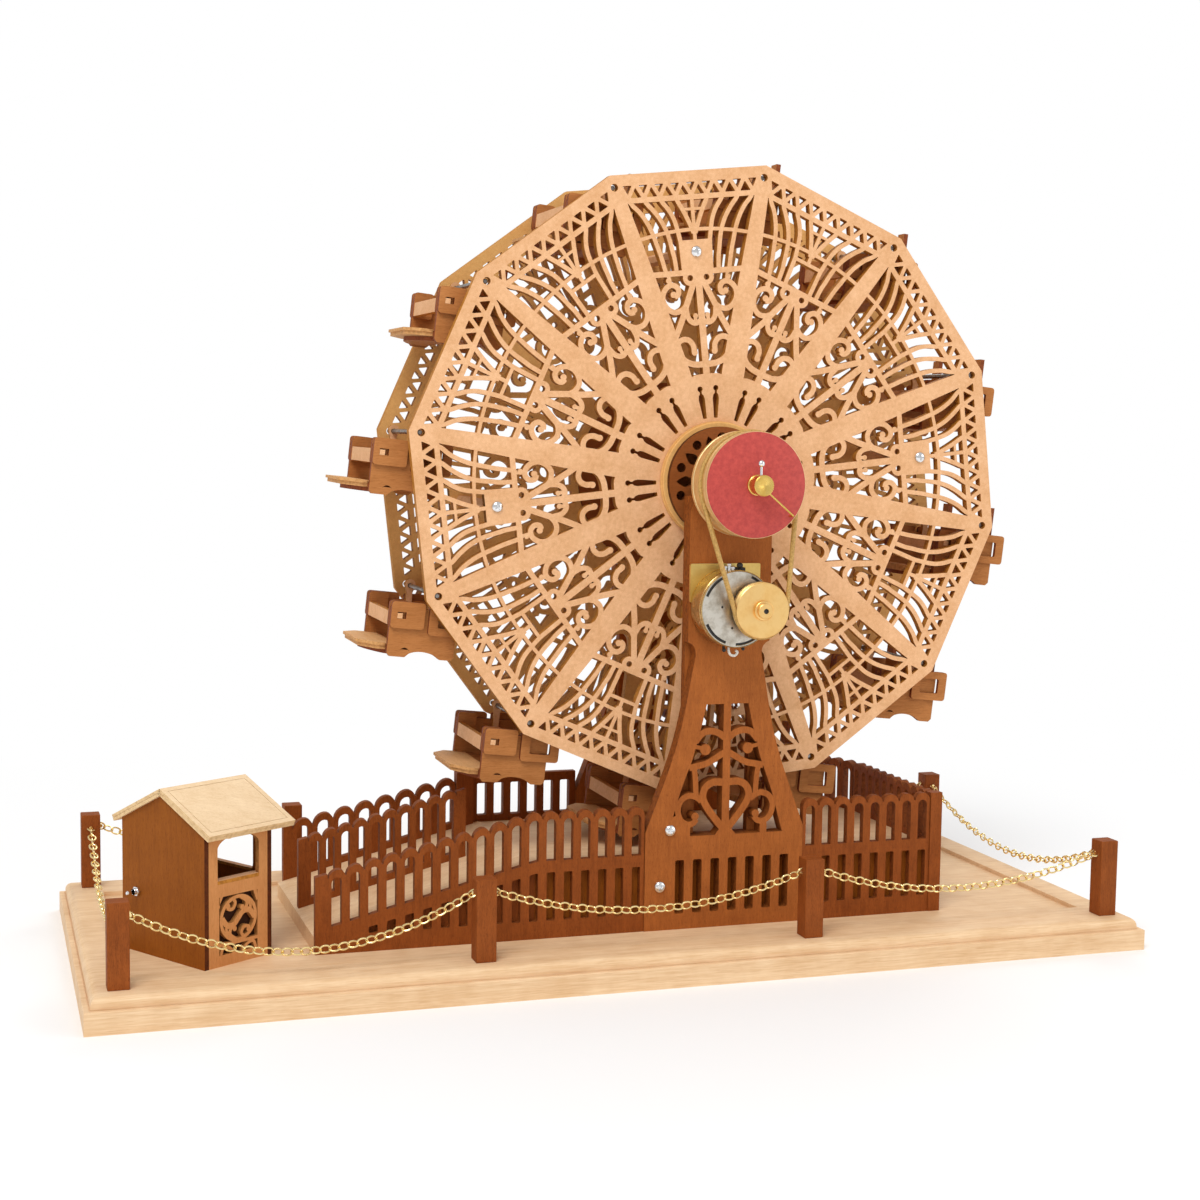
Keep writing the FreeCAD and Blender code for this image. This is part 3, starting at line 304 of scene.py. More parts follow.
class Shape:
    """Collects faces in millimetres and turns them into one object."""

    def __init__(self) -> None:
        """Starts empty."""
        self.spots: list[tuple[float, float, float]] = []
        self.cells: list[tuple[int, ...]] = []
        self.cut: list[float] = []

    def add(self, spots: Iterable[Sequence[float]], cells: Iterable[Sequence[int]],
            cut: float = 0.0) -> None:
        """Adds vertices and faces.

        Args:
            spots: Vertices.
            cells: Faces, as indices into those vertices.
            cut: Value of the sawn edge mark for these faces.
        """
        first = len(self.spots)
        self.spots += [tuple(spot) for spot in spots]
        before = len(self.cells)
        self.cells += [tuple(first + index for index in cell) for cell in cells]
        self.cut += [cut] * (len(self.cells) - before)

    def join(self, other: "Shape", matrix: Matrix = Matrix()) -> None:
        """Adds another shape, moved by a matrix.

        Args:
            other: The shape to add.
            matrix: Where it goes.
        """
        first = len(self.spots)
        self.spots += [tuple(matrix @ Vector(spot)) for spot in other.spots]
        self.cells += [tuple(first + index for index in cell) for cell in other.cells]
        self.cut += other.cut

    def board(self, flat: Flat, plane: Plane, thick: float, front: float = 0.0) -> None:
        """Adds a sawn board.

        Args:
            flat: Outline with its openings.
            plane: Plane of its face.
            thick: Thickness.
            front: Depth of the board's face behind the plane.
        """
        corners, triangles, rim = flat.faces()
        face = [plane.at(x, y, front) for x, y in corners]
        back = [plane.at(x, y, front + thick) for x, y in corners]
        self.add(face + back, [tuple(t) for t in triangles]
                 + [tuple(int(i) + len(corners) for i in reversed(t)) for t in triangles])
        count = len(corners)
        self.add(face + back, [(b, a, a + count, b + count) for a, b in rim], 1.0)

    def block(self, low: Sequence[float], high: Sequence[float]) -> None:
        """Adds a box between two corners.

        Args:
            low: Corner with the least coordinates.
            high: The corner opposite.
        """
        x, y, z = zip(low, high)
        self.add([(x[i], y[j], z[k]) for i in (0, 1) for j in (0, 1) for k in (0, 1)],
                 [(0, 1, 3, 2), (4, 6, 7, 5), (0, 4, 5, 1), (2, 3, 7, 6), (0, 2, 6, 4), (1, 5, 7, 3)])

    def lathe(self, profile: Sequence[Point], centre: Sequence[float], sides: int,
              turn: Matrix = Matrix()) -> None:
        """Adds a turned piece whose axis runs along +Y before it is moved.

        Args:
            profile: Radius and place along the axis, in order of the axis.
            centre: Point of the axis where the place is 0.
            sides: Number of sides.
            turn: Rotation given to the piece about that point.
        """
        spots: list[Vector] = []
        rings: list[list[int]] = []
        for radius, along in profile:
            count = 1 if radius < 1e-6 else sides
            rings.append([len(spots) + number for number in range(count)])
            for number in range(count):
                x, z = polar(radius, 360 * number / sides)
                spots.append(Vector(centre) + turn @ Vector((x, along, z)))
        cells: list[tuple[int, ...]] = []
        for low, high in zip(rings, rings[1:]):
            for n in range(sides):
                quad = [low[n % len(low)], high[n % len(high)],
                        high[(n + 1) % len(high)], low[(n + 1) % len(low)]]
                cells.append(tuple(dict.fromkeys(quad)))
        self.add(spots, [cell for cell in cells if len(cell) > 2])

    def tray(self, rings: Sequence[tuple[float, float, float]]) -> None:
        """Adds a closed solid from level rectangles.

        Args:
            rings: Half length, half width and height of each, from the underside up and inwards.
        """
        corners = ((-1, -1), (1, -1), (1, 1), (-1, 1))
        spots = [(x * across, y * deep, z) for across, deep, z in rings for x, y in corners]
        cells: list[tuple[int, ...]] = [(3, 2, 1, 0)]
        for low in range(0, len(spots) - 4, 4):
            for n in range(4):
                after = (n + 1) % 4
                cells.append((low + n, low + after, low + 4 + after, low + 4 + n))
        cells.append(tuple(range(len(spots) - 4, len(spots))))
        self.add(spots, cells)

    def tube(self, path: Sequence[Sequence[float]], radius: float, sides: int,
             closed: bool = False) -> None:
        """Adds a round rod along a path.

        Args:
            path: Points of its middle line.
            radius: Radius of the rod.
            sides: Number of sides.
            closed: Whether the end meets the start.
        """
        line = [Vector(point) for point in path]
        count = len(line)
        ways = []
        for n in range(count):
            after = line[(n + 1) % count] if closed or n < count - 1 else line[n]
            before = line[n - 1] if closed or n else line[n]
            ways.append((after - before).normalized())
        side = ways[0].orthogonal().normalized()
        spots: list[Vector] = []
        for n in range(count):
            side = (side - ways[n] * side.dot(ways[n])).normalized()
            other = ways[n].cross(side)
            for number in range(sides):
                x, y = polar(radius, 360 * number / sides)
                spots.append(line[n] + side * x + other * y)
        cells = []
        for n in range(count if closed else count - 1):
            a, b = n * sides, ((n + 1) % count) * sides
            cells += [(a + k, a + (k + 1) % sides, b + (k + 1) % sides, b + k) for k in range(sides)]
        if not closed:
            cells += [tuple(range(sides))[::-1], tuple(range((count - 1) * sides, count * sides))]
        self.add(spots, cells)

    def build(self, name: str, material: Material) -> Object:
        """Makes the object, in metres.

        Args:
            name: Name of the object.
            material: Its finish.

        Returns:
            The new object, linked to the scene.
        """
        mesh = bpy.data.meshes.new(name)
        mesh.from_pydata([Vector(spot) * MM for spot in self.spots], [], self.cells)
        mesh.attributes.new(CUT, "FLOAT", "FACE").data.foreach_set("value", self.cut)
        work = bmesh.new()
        work.from_mesh(mesh)
        bmesh.ops.remove_doubles(work, verts=work.verts, dist=1e-6)
        work.to_mesh(mesh)
        work.free()
        crisp(mesh)
        mesh.materials.append(material)
        mesh.validate()
        return placed(name, mesh)


def placed(name: str, data: ID) -> Object:
    """New object for some data, linked to the scene.

    Args:
        name: Name of the object.
        data: Mesh, lamp or camera.

    Returns:
        The object.
    """
    thing = bpy.data.objects.new(name, data)
    bpy.context.scene.collection.objects.link(thing)
    return thing


def crisp(mesh: Mesh) -> None:
    """Shades a mesh smoothly, but keeps the edges that bend by more than the crease."""
    mesh.polygons.foreach_set("use_smooth", [True] * len(mesh.polygons))
    mesh.set_sharp_from_angle(angle=CREASE)


def plain_mesh(thing: Object) -> Mesh:
    """Mesh of an object with its modifiers carried out; the object is removed.

    Args:
        thing: The object.

    Returns:
        The new mesh.
    """
    seen = thing.evaluated_get(bpy.context.evaluated_depsgraph_get())
    mesh = bpy.data.meshes.new_from_object(seen)
    bpy.data.objects.remove(thing)
    return mesh


def settle(thing: Object, body: str, slot: str, *nodes: str) -> Object:
    """Hands a finished piece over to the frame.

    Args:
        thing: The piece.
        body: Moving group that it rides on.
        slot: Material slot of the record; not used.
        nodes: Solids of the part that it stands for.

    Returns:
        The same object.
    """
    if nodes:
        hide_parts(*nodes)
    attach(thing, body)
    LOG.info("%s rides on %s with %d faces", thing.name, body, len(thing.data.polygons))
    return thing


# ---- finishes

def tint(code: str) -> tuple[float, float, float, float]:
    """Linear colour of a six digit code.

    Args:
        code: Red, green and blue as two hexadecimal digits each.

    Returns:
        Red, green, blue and an alpha of 1.
    """
    shares = [int(code[n:n + 2], 16) / 255 for n in (0, 2, 4)]
    red, green, blue = (s / 12.92 if s <= 0.04045 else ((s + 0.055) / 1.055) ** 2.4 for s in shares)
    return (red, green, blue, 1.0)


class Graph:
    """Short calls that add nodes to a tree and join them."""

    def __init__(self, tree: NodeTree) -> None:
        """Takes the tree to work on."""
        self.tree = tree

    def add(self, kind: str, options: dict | None = None, inputs: dict | None = None) -> Node:
        """Adds a node.

        Args:
            kind: Type of the node.
            options: Properties to set on it.
            inputs: Values or sockets for its inputs, by name or index.

        Returns:
            The new node.
        """
        made = self.tree.nodes.new(kind)
        for name, value in (options or {}).items():
            setattr(made, name, value)
        for name, value in (inputs or {}).items():
            if isinstance(value, NodeSocket):
                self.link(value, made.inputs[name])
            else:
                made.inputs[name].default_value = value
        return made

    def link(self, source: NodeSocket, target: NodeSocket) -> None:
        """Joins an output to an input."""
        self.tree.links.new(source, target)

    def maths(self, operation: str, *values: object) -> NodeSocket:
        """Adds a calculation and returns its result."""
        made = self.add("ShaderNodeMath", {"operation": operation}, dict(enumerate(values)))
        return made.outputs[0]

    def blend(self, share: object, low: object, high: object) -> NodeSocket:
        """Adds a mix of two colours and returns its result."""
        made = self.add("ShaderNodeMix", {"data_type": "RGBA"}, {0: share, 6: low, 7: high})
        return made.outputs[2]

    def ramp(self, value: object, low: float, high: float, start: float = 0.0,
             end: float = 1.0) -> NodeSocket:
        """Adds a clamped change of range and returns its result."""
        made = self.add("ShaderNodeMapRange", {}, {0: value, 1: low, 2: high, 3: start, 4: end})
        return made.outputs[0]

    def bump(self, shader: Node, height: object, strength: float, distance: float = 0.0003) -> None:
        """Adds a relief and joins it to a shader."""
        made = self.add("ShaderNodeBump", {}, {"Height": height, "Strength": strength,
                                               "Distance": distance})
        self.link(made.outputs[0], shader.inputs["Normal"])

    def noise(self, where: object, scale: float, detail: float = 3.0, rough: float = 0.55) -> NodeSocket:
        """Adds noise and returns its value."""
        values = {"Vector": where, "Scale": scale, "Detail": detail, "Roughness": rough}
        return self.add("ShaderNodeTexNoise", {}, values).outputs[0]


def new_group(name: str, inputs: Sequence[tuple[str, str, object]],
              outputs: Sequence[tuple[str, str]]) -> tuple[Graph, dict, Node]:
    """Starts a shader node group.

    Args:
        name: Name of the group.
        inputs: Name, socket type and default of each input.
        outputs: Name and socket type of each output.

    Returns:
        The group's graph, its input sockets by name and its output node.
    """
    tree = bpy.data.node_groups.new(name, "ShaderNodeTree")
    for label, kind, value in inputs:
        socket = tree.interface.new_socket(name=label, in_out="INPUT", socket_type=kind)
        socket.default_value = value
    for label, kind in outputs:
        tree.interface.new_socket(name=label, in_out="OUTPUT", socket_type=kind)
    graph = Graph(tree)
    source = graph.add("NodeGroupInput")
    target = graph.add("NodeGroupOutput")
    return graph, {socket.name: socket for socket in source.outputs if socket.name}, target


def grain_group() -> ShaderNodeTree:
    """Group that draws fibres, pores and cloudy patches of sawn wood.

    Returns:
        The group, with the outputs Color and Relief.
    """
    graph, given, out = new_group(
        "wood_grain",
        [("Place", VECTOR, (0, 0, 0)), ("Fibre", VECTOR, (1, 1, 1)),
         ("Light", COLOUR, (1, 1, 1, 1)), ("Dark", COLOUR, (0, 0, 0, 1)),
         ("Pore", COLOUR, (0, 0, 0, 1)), ("Figure", VALUE, 0.5),
         ("Pores", VALUE, 0.5)],
        [("Color", COLOUR), ("Relief", VALUE)])
    long = graph.add("ShaderNodeMapping", {"vector_type": "POINT"},
                     {"Vector": given["Place"], "Scale": given["Fibre"]}).outputs[0]
    bands = graph.noise(long, 0.35, 4.0)
    fibres = graph.noise(long, 1.6, 3.0, 0.7)
    cloud = graph.noise(given["Place"], 55.0, 3.0)
    shade = graph.maths("ADD", graph.maths("MULTIPLY", bands, 0.3),
                        graph.maths("ADD", graph.maths("MULTIPLY", fibres, 0.42),
                                    graph.maths("MULTIPLY", cloud, 0.28)))
    shade = graph.ramp(shade, 0.38, 0.62)
    share = graph.maths("MULTIPLY", shade, given["Figure"])
    body = graph.blend(share, given["Light"], given["Dark"])
    fleck = graph.ramp(graph.noise(long, 3.0, 1.0), 0.58, 0.7)
    fleck = graph.maths("MULTIPLY", fleck, given["Pores"])
    graph.link(graph.blend(fleck, body, given["Pore"]), out.inputs["Color"])
    graph.link(graph.maths("SUBTRACT", fibres, fleck), out.inputs["Relief"])
    return graph.tree


def edge_group() -> ShaderNodeTree:
    """Group that browns the sawn edges of a board in uneven, burnt streaks.

    Returns:
        The group, with the output Color.
    """
    graph, given, out = new_group(
        "sawn_edge",
        [("Place", VECTOR, (0, 0, 0)), ("Face", COLOUR, (1, 1, 1, 1)),
         ("Edge", COLOUR, (0.4, 0.2, 0.1, 1)), ("Burn", COLOUR, (0.1, 0.04, 0.02, 1)),
         ("Mark", VALUE, 0.0), ("Depth", VALUE, 0.5)],
        [("Color", COLOUR)])
    streaks = graph.ramp(graph.noise(given["Place"], 420.0, 2.0), 0.4, 0.7)
    burnt = graph.blend(graph.maths("MULTIPLY", streaks, given["Depth"]), given["Edge"], given["Burn"])
    graph.link(graph.blend(given["Mark"], given["Face"], burnt), out.inputs["Color"])
    return graph.tree


def wear_group() -> ShaderNodeTree:
    """Group that dulls and scratches polished metal.

    Returns:
        The group, with the outputs Color, Roughness and Relief.
    """
    graph, given, out = new_group(
        "handled_metal",
        [("Place", VECTOR, (0, 0, 0)), ("Clean", COLOUR, (1, 1, 1, 1)),
         ("Dull", COLOUR, (0.5, 0.5, 0.5, 1)), ("Amount", VALUE, 0.5),
         ("Smooth", VALUE, 0.2), ("Rough", VALUE, 0.45)],
        [("Color", COLOUR), ("Roughness", VALUE), ("Relief", VALUE)])
    patches = graph.ramp(graph.noise(given["Place"], 130.0, 5.0, 0.65), 0.42, 0.66)
    turning = graph.noise(graph.add("ShaderNodeMapping", {}, {
        "Vector": given["Place"], "Scale": (60.0, 2600.0, 60.0)}).outputs[0], 1.0, 2.0)
    share = graph.maths("MULTIPLY", patches, given["Amount"])
    graph.link(graph.blend(share, given["Clean"], given["Dull"]), out.inputs["Color"])
    spread = graph.maths("MULTIPLY", graph.maths("SUBTRACT", given["Rough"], given["Smooth"]), patches)
    graph.link(graph.maths("ADD", given["Smooth"], spread), out.inputs["Roughness"])
    graph.link(turning, out.inputs["Relief"])
    return graph.tree


@dataclass
class Groups:
    """The shared node groups, made once."""

    grain: ShaderNodeTree = field(default_factory=grain_group)
    edge: ShaderNodeTree = field(default_factory=edge_group)
    wear: ShaderNodeTree = field(default_factory=wear_group)


def new_material(name: str) -> tuple[Material, Graph, Node, NodeSocket]:
    """Starts a material.

    Args:
        name: Name of the material.

    Returns:
        The material, its graph, its shader and the object coordinates.
    """
    material = bpy.data.materials.new(name)
    material.use_nodes = True
    graph = Graph(material.node_tree)
    shader = material.node_tree.nodes["Principled BSDF"]
    place = graph.add("ShaderNodeTexCoord").outputs["Object"]
    return material, graph, shader, place


@dataclass(frozen=True)
class Wood:
    """A sawn and sanded board."""

    name: str
    light: str
    dark: str
    pore: str
    edge: str
    burn: str
    grain: Grain = Grain.ALONG
    figure: float = 0.6
    pores: float = 0.3
    scorch: float = 0.5
    fine: float = 900.0
    stretch: float = 14.0
    roughness: float = 0.6
    relief: float = 0.12

    def make(self, groups: Groups) -> Material:
        """Builds the material: grain on the faces, scorched streaks on the sawn edges.

        Args:
            groups: The shared node groups.

        Returns:
            The material.
        """
        material, graph, shader, place = new_material(self.name)
        fibre = tuple(self.fine / (self.stretch if along else 1) for along in self.grain.value)
        grain = graph.add("ShaderNodeGroup", {"node_tree": groups.grain}, {
            "Place": place, "Fibre": fibre, "Light": tint(self.light), "Dark": tint(self.dark),
            "Pore": tint(self.pore), "Figure": self.figure, "Pores": self.pores})
        mark = graph.add("ShaderNodeAttribute", {"attribute_name": CUT}).outputs["Fac"]
        sawn = graph.add("ShaderNodeGroup", {"node_tree": groups.edge}, {
            "Place": place, "Face": grain.outputs["Color"], "Edge": tint(self.edge),
            "Burn": tint(self.burn), "Mark": mark, "Depth": self.scorch})
        graph.link(sawn.outputs["Color"], shader.inputs["Base Color"])
        rough = graph.ramp(grain.outputs["Relief"], 0.2, 0.8, self.roughness + 0.08, self.roughness - 0.06)
        graph.link(rough, shader.inputs["Roughness"])
        graph.bump(shader, grain.outputs["Relief"], self.relief, 0.0004)
        shader.inputs["Specular IOR Level"].default_value = 0.14
        return material


@dataclass(frozen=True)
class Metal:
    """Turned or stamped metal with the marks of handling."""

    name: str
    clean: str
    dull: str
    amount: float = 0.5
    polish: float = 0.2
    rough: float = 0.42
    relief: float = 0.05

    def make(self, groups: Groups) -> Material:
        """Builds the material: bright, with dull patches and fine turning marks.

        Args:
            groups: The shared node groups.

        Returns:
            The material.
        """
        material, graph, shader, place = new_material(self.name)
        wear = graph.add("ShaderNodeGroup", {"node_tree": groups.wear}, {
            "Place": place, "Clean": tint(self.clean), "Dull": tint(self.dull),
            "Amount": self.amount, "Smooth": self.polish, "Rough": self.rough})
        graph.link(wear.outputs["Color"], shader.inputs["Base Color"])
        graph.link(wear.outputs["Roughness"], shader.inputs["Roughness"])
        graph.bump(shader, wear.outputs["Relief"], self.relief)
        shader.inputs["Metallic"].default_value = 1.0
        return material


@dataclass(frozen=True)
class Felt:
    """Dyed facing of pressed fibre."""

    name: str
    light: str
    dark: str

    def make(self, groups: Groups) -> Material:
        """Builds the material: mottled dye with a little fuzz.

        Args:
            groups: The shared node groups.

        Returns:
            The material.
        """
        material, graph, shader, place = new_material(self.name)
        mottle = graph.ramp(graph.noise(place, 260.0, 6.0, 0.7), 0.38, 0.62)
        fuzz = graph.noise(place, 2600.0, 2.0)
        share = graph.maths("ADD", graph.maths("MULTIPLY", mottle, 0.7), graph.maths("MULTIPLY", fuzz, 0.3))
        graph.link(graph.blend(share, tint(self.light), tint(self.dark)),
                             shader.inputs["Base Color"])
        graph.bump(shader, fuzz, 0.3, 0.0004)
        shader.inputs["Roughness"].default_value = 0.9
        shader.inputs["Sheen Weight"].default_value = 0.25
        return material


@dataclass(frozen=True)
class Rubber:
    """Moulded plastic or a drawn cord, slightly marked by use."""

    name: str
    light: str
    dark: str
    scale: float = 500.0
    roughness: float = 0.5

    def make(self, groups: Groups) -> Material:
        """Builds the material: one colour with scuffs.

        Args:
            groups: The shared node groups.

        Returns:
            The material.
        """
        material, graph, shader, place = new_material(self.name)
        marks = graph.noise(place, self.scale, 4.0, 0.6)
        graph.link(graph.blend(graph.ramp(marks, 0.4, 0.65), tint(self.light), tint(self.dark)),
                             shader.inputs["Base Color"])
        rough = graph.ramp(marks, 0.3, 0.7, self.roughness - 0.1, self.roughness + 0.1)
        graph.link(rough, shader.inputs["Roughness"])
        graph.bump(shader, marks, 0.15)
        return material


class Finish(Enum):
    """Every finish of the model under a maker's name."""

    BIRCH = Wood("birch_ply", "F0BF92", "CE9764", "B47C48", "BE8034", "80491A", Grain.PLAIN, 0.85, 0.35,
                 0.55, 1400.0, 1.0)
    # GOLDEN is a brighter, more golden copy of the birch: on the rear disc it is painted light that lifts
    # the shade between the two discs; on the hub rings it is their own golden tone.
    GOLDEN = Wood("golden_ply", "EDBA74", "CE9450", "A87034", "C4873A", "7E4A1A", Grain.PLAIN, 0.7, 0.3,
                  0.55, 1400.0, 1.0)
    MAPLE = Wood("sanded_maple", "F0D0A8", "D4A97A", "C09062", "D8B07E", "BC9060", Grain.ALONG, 0.75, 0.3,
                 0.3, 560.0, 24.0, 0.5)
    ROOF = Wood("roof_maple", "EDD2AC", "D6B488", "BE9868", "E6C696", "B48A5A", Grain.ALONG, 0.7, 0.35,
                0.5, 900.0, 9.0, 0.55)
    TOWER = Wood("tower_walnut", "AE642C", "8A4A1E", "60300F", "8E4E1E", "4C220C", Grain.UPRIGHT, 0.8,
                 0.45, 0.6, 1300.0, 9.0)
    WALNUT = Wood("dark_walnut", "98501F", "733811", "4E240A", "8A4A20", "4A200C", Grain.UPRIGHT, 0.8,
                  0.5, 0.6, 1300.0, 9.0)
    SAPELE = Wood("booth_sapele", "9A5614", "7E4209", "5E2E06", "5A2A0E", "32140A", Grain.UPRIGHT, 0.75,
                  0.5, 0.5, 1200.0, 11.0)
    CEDAR = Wood("window_cedar", "D0925A", "BC7C46", "985C2C", "B87E46", "5E3212", Grain.UPRIGHT, 0.7,
                 0.35, 0.5, 1100.0, 10.0)
    CHERRY = Wood("gondola_cherry", "BC7C46", "9C602E", "763E18", "8E4C2A", "54260F", Grain.ALONG, 0.7,
                  0.35, 0.5, 1000.0, 12.0)
    # SHADE is painted shade: a near-black finish for the sheet behind the booth's scroll panel.
    SHADE = Wood("shaded_ply", "3A1C0C", "2C1408", "1E0C04", "2A1206", "1A0A04", Grain.UPRIGHT, 0.85,
                 0.3, 0.3, 1300.0, 9.0)
    HONEY = Wood("foot_board_ply", "E8B880", "CE9860", "AA7440", "D6A066", "94602E", Grain.ACROSS, 0.7,
                 0.35, 0.5, 1000.0, 12.0)
    ROSEWOOD = Wood("rosette_cherry", "985628", "7C421A", "5C2C0E", "5E2E10", "2C1206", Grain.ALONG, 0.6,
                    0.4, 0.6, 1000.0, 12.0, 0.5)
    BRASS = Metal("polished_brass", "ECC870", "C0953C", 0.5, 0.24, 0.42)
    CHAIN = Metal("chain_brass", "F8E0A2", "D9B468", 0.4, 0.16, 0.32)
    RIM = Metal("pulley_rim", "F2D9A6", "D8B878", 0.35, 0.42, 0.58, 0.12)
    SMALL = Metal("small_pulley_brass", "F6CC86", "DEAC60", 0.45, 0.3, 0.46, 0.1)
    BRACKET = Metal("bracket_brass", "EACB7C", "CFA850", 0.35, 0.3, 0.45)
    CHROME = Metal("bright_chrome", "EDEDEE", "B8B8BA", 0.3, 0.07, 0.2, 0.02)
    STEEL = Metal("drawn_steel", "9A9590", "5C5650", 0.6, 0.25, 0.5)
    CAN = Metal("pressed_can", "D6D0C4", "8E826C", 0.6, 0.28, 0.5, 0.03)
    CAN_SIDE = Metal("can_side", "D6B87E", "8C6C40", 0.6, 0.24, 0.44, 0.05)
    RED = Felt("red_facing", "C64C42", "A93834")
    BELT = Rubber("belt_cord", "C9A058", "A87F3C", 900.0, 0.45)
    # BLACK is the terminal plastic and also painted shade, in the bore of the small pulley and behind the
    # can's slots.
    BLACK = Rubber("terminal_plastic", "26221F", "151311", 700.0, 0.5)
    LEAD = Rubber("lead_sleeve", "E4E0D8", "C9C3B8", 900.0, 0.4)


class Palette:
    """Makes each finish once, when it is first asked for."""

    def __init__(self) -> None:
        """Makes the shared groups."""
        self.groups = Groups()
        self.made: dict[Finish, Material] = {}

    def __getitem__(self, finish: Finish) -> Material:
        """The material of a finish.

        Args:
            finish: The finish.

        Returns:
            Its material.
        """
        if finish not in self.made:
            self.made[finish] = finish.value.make(self.groups)
        return self.made[finish]


# ---- repeated by nodes

class Pattern:
    """A Geometry Nodes tree that is put on an object, then turned into a mesh."""

    def __init__(self, name: str, sizes: Sequence[tuple[str, str, object]]) -> None:
        """Starts the tree.

        Args:
            name: Name of the tree.
            sizes: Name, socket type and default of each size.
        """
        self.tree = bpy.data.node_groups.new(name, "GeometryNodeTree")
        self.tree.interface.new_socket(name="Geometry", in_out="INPUT", socket_type="NodeSocketGeometry")
        self.keys: dict[str, str] = {}
        for label, kind, value in sizes:
            socket = self.tree.interface.new_socket(name=label, in_out="INPUT", socket_type=kind)
            if value is not None:
                socket.default_value = value
            self.keys[label] = socket.identifier
        self.tree.interface.new_socket(name="Geometry", in_out="OUTPUT", socket_type="NodeSocketGeometry")
        self.graph = Graph(self.tree)
        source = self.graph.add("NodeGroupInput")
        self.given = {socket.name: socket for socket in source.outputs if socket.name}

    def end(self, geometry: NodeSocket) -> None:
        """Closes the tree with real geometry and its material.

        Args:
            geometry: What the tree has made.
        """
        real = self.graph.add("GeometryNodeRealizeInstances", {}, {"Geometry": geometry})
        dressed = self.graph.add("GeometryNodeSetMaterial", {}, {
            "Geometry": real.outputs[0], "Material": self.given["Finish"]})
        self.graph.add("NodeGroupOutput", {}, {"Geometry": dressed.outputs[0]})

    def apply(self, base: Object, name: str, values: dict) -> Object:
        """Runs the tree on an object and keeps the result as a plain mesh.

        Args:
            base: Object that carries the input geometry; it is removed.
            name: Name of the result.
            values: Sizes that differ from the tree's own.

        Returns:
            The new object.
        """
        modifier = base.modifiers.new(self.tree.name, "NODES")
        modifier.node_group = self.tree
        for label, value in values.items():
            modifier[self.keys[label]] = value
        mesh = plain_mesh(base)
        mesh.name = name
        crisp(mesh)
        return placed(name, mesh)


def sector_pattern() -> Pattern:
    """Tree that repeats one sector round an axle along +Y.

    Returns:
        The tree; its sizes are Count, Step, Centre and Finish.
    """
    made = Pattern("round_the_axle", [
        ("Count", "NodeSocketInt", SIDES), ("Step", VALUE, radians(STEP)),
        ("Centre", VECTOR, (0, 0, 0)), ("Finish", "NodeSocketMaterial", None)])
    graph = made.graph
    line = graph.add("GeometryNodeMeshLine", {}, {"Count": made.given["Count"], "Start Location": (0, 0, 0),
                                                   "Offset": (0, 0, 0)})
    turn = graph.maths("MULTIPLY", graph.add("GeometryNodeInputIndex").outputs[0], made.given["Step"])
    spin = graph.add("ShaderNodeCombineXYZ", {}, {"Y": turn})
    copies = graph.add("GeometryNodeInstanceOnPoints", {}, {
        "Points": line.outputs[0], "Instance": made.given["Geometry"], "Rotation": spin.outputs[0]})
    shifted = graph.add("GeometryNodeTransform", {}, {"Geometry": copies.outputs[0],
                                                      "Translation": made.given["Centre"]})
    made.end(shifted.outputs[0])
    return made


def stud_pattern() -> Pattern:
    """Tree that sets one small piece on every point of the input mesh.

    Returns:
        The tree; its sizes are Piece and Finish.
    """
    made = Pattern("studs", [("Piece", "NodeSocketObject", None), ("Finish", "NodeSocketMaterial", None)])
    piece = made.graph.add("GeometryNodeObjectInfo", {}, {"Object": made.given["Piece"]})
    aim = made.graph.add("GeometryNodeInputNamedAttribute", {"data_type": "FLOAT_VECTOR"}, {"Name": "aim"})
    copies = made.graph.add("GeometryNodeInstanceOnPoints", {}, {
        "Points": made.given["Geometry"], "Instance": piece.outputs["Geometry"],
        "Rotation": aim.outputs["Attribute"]})
    made.end(copies.outputs[0])
    return made


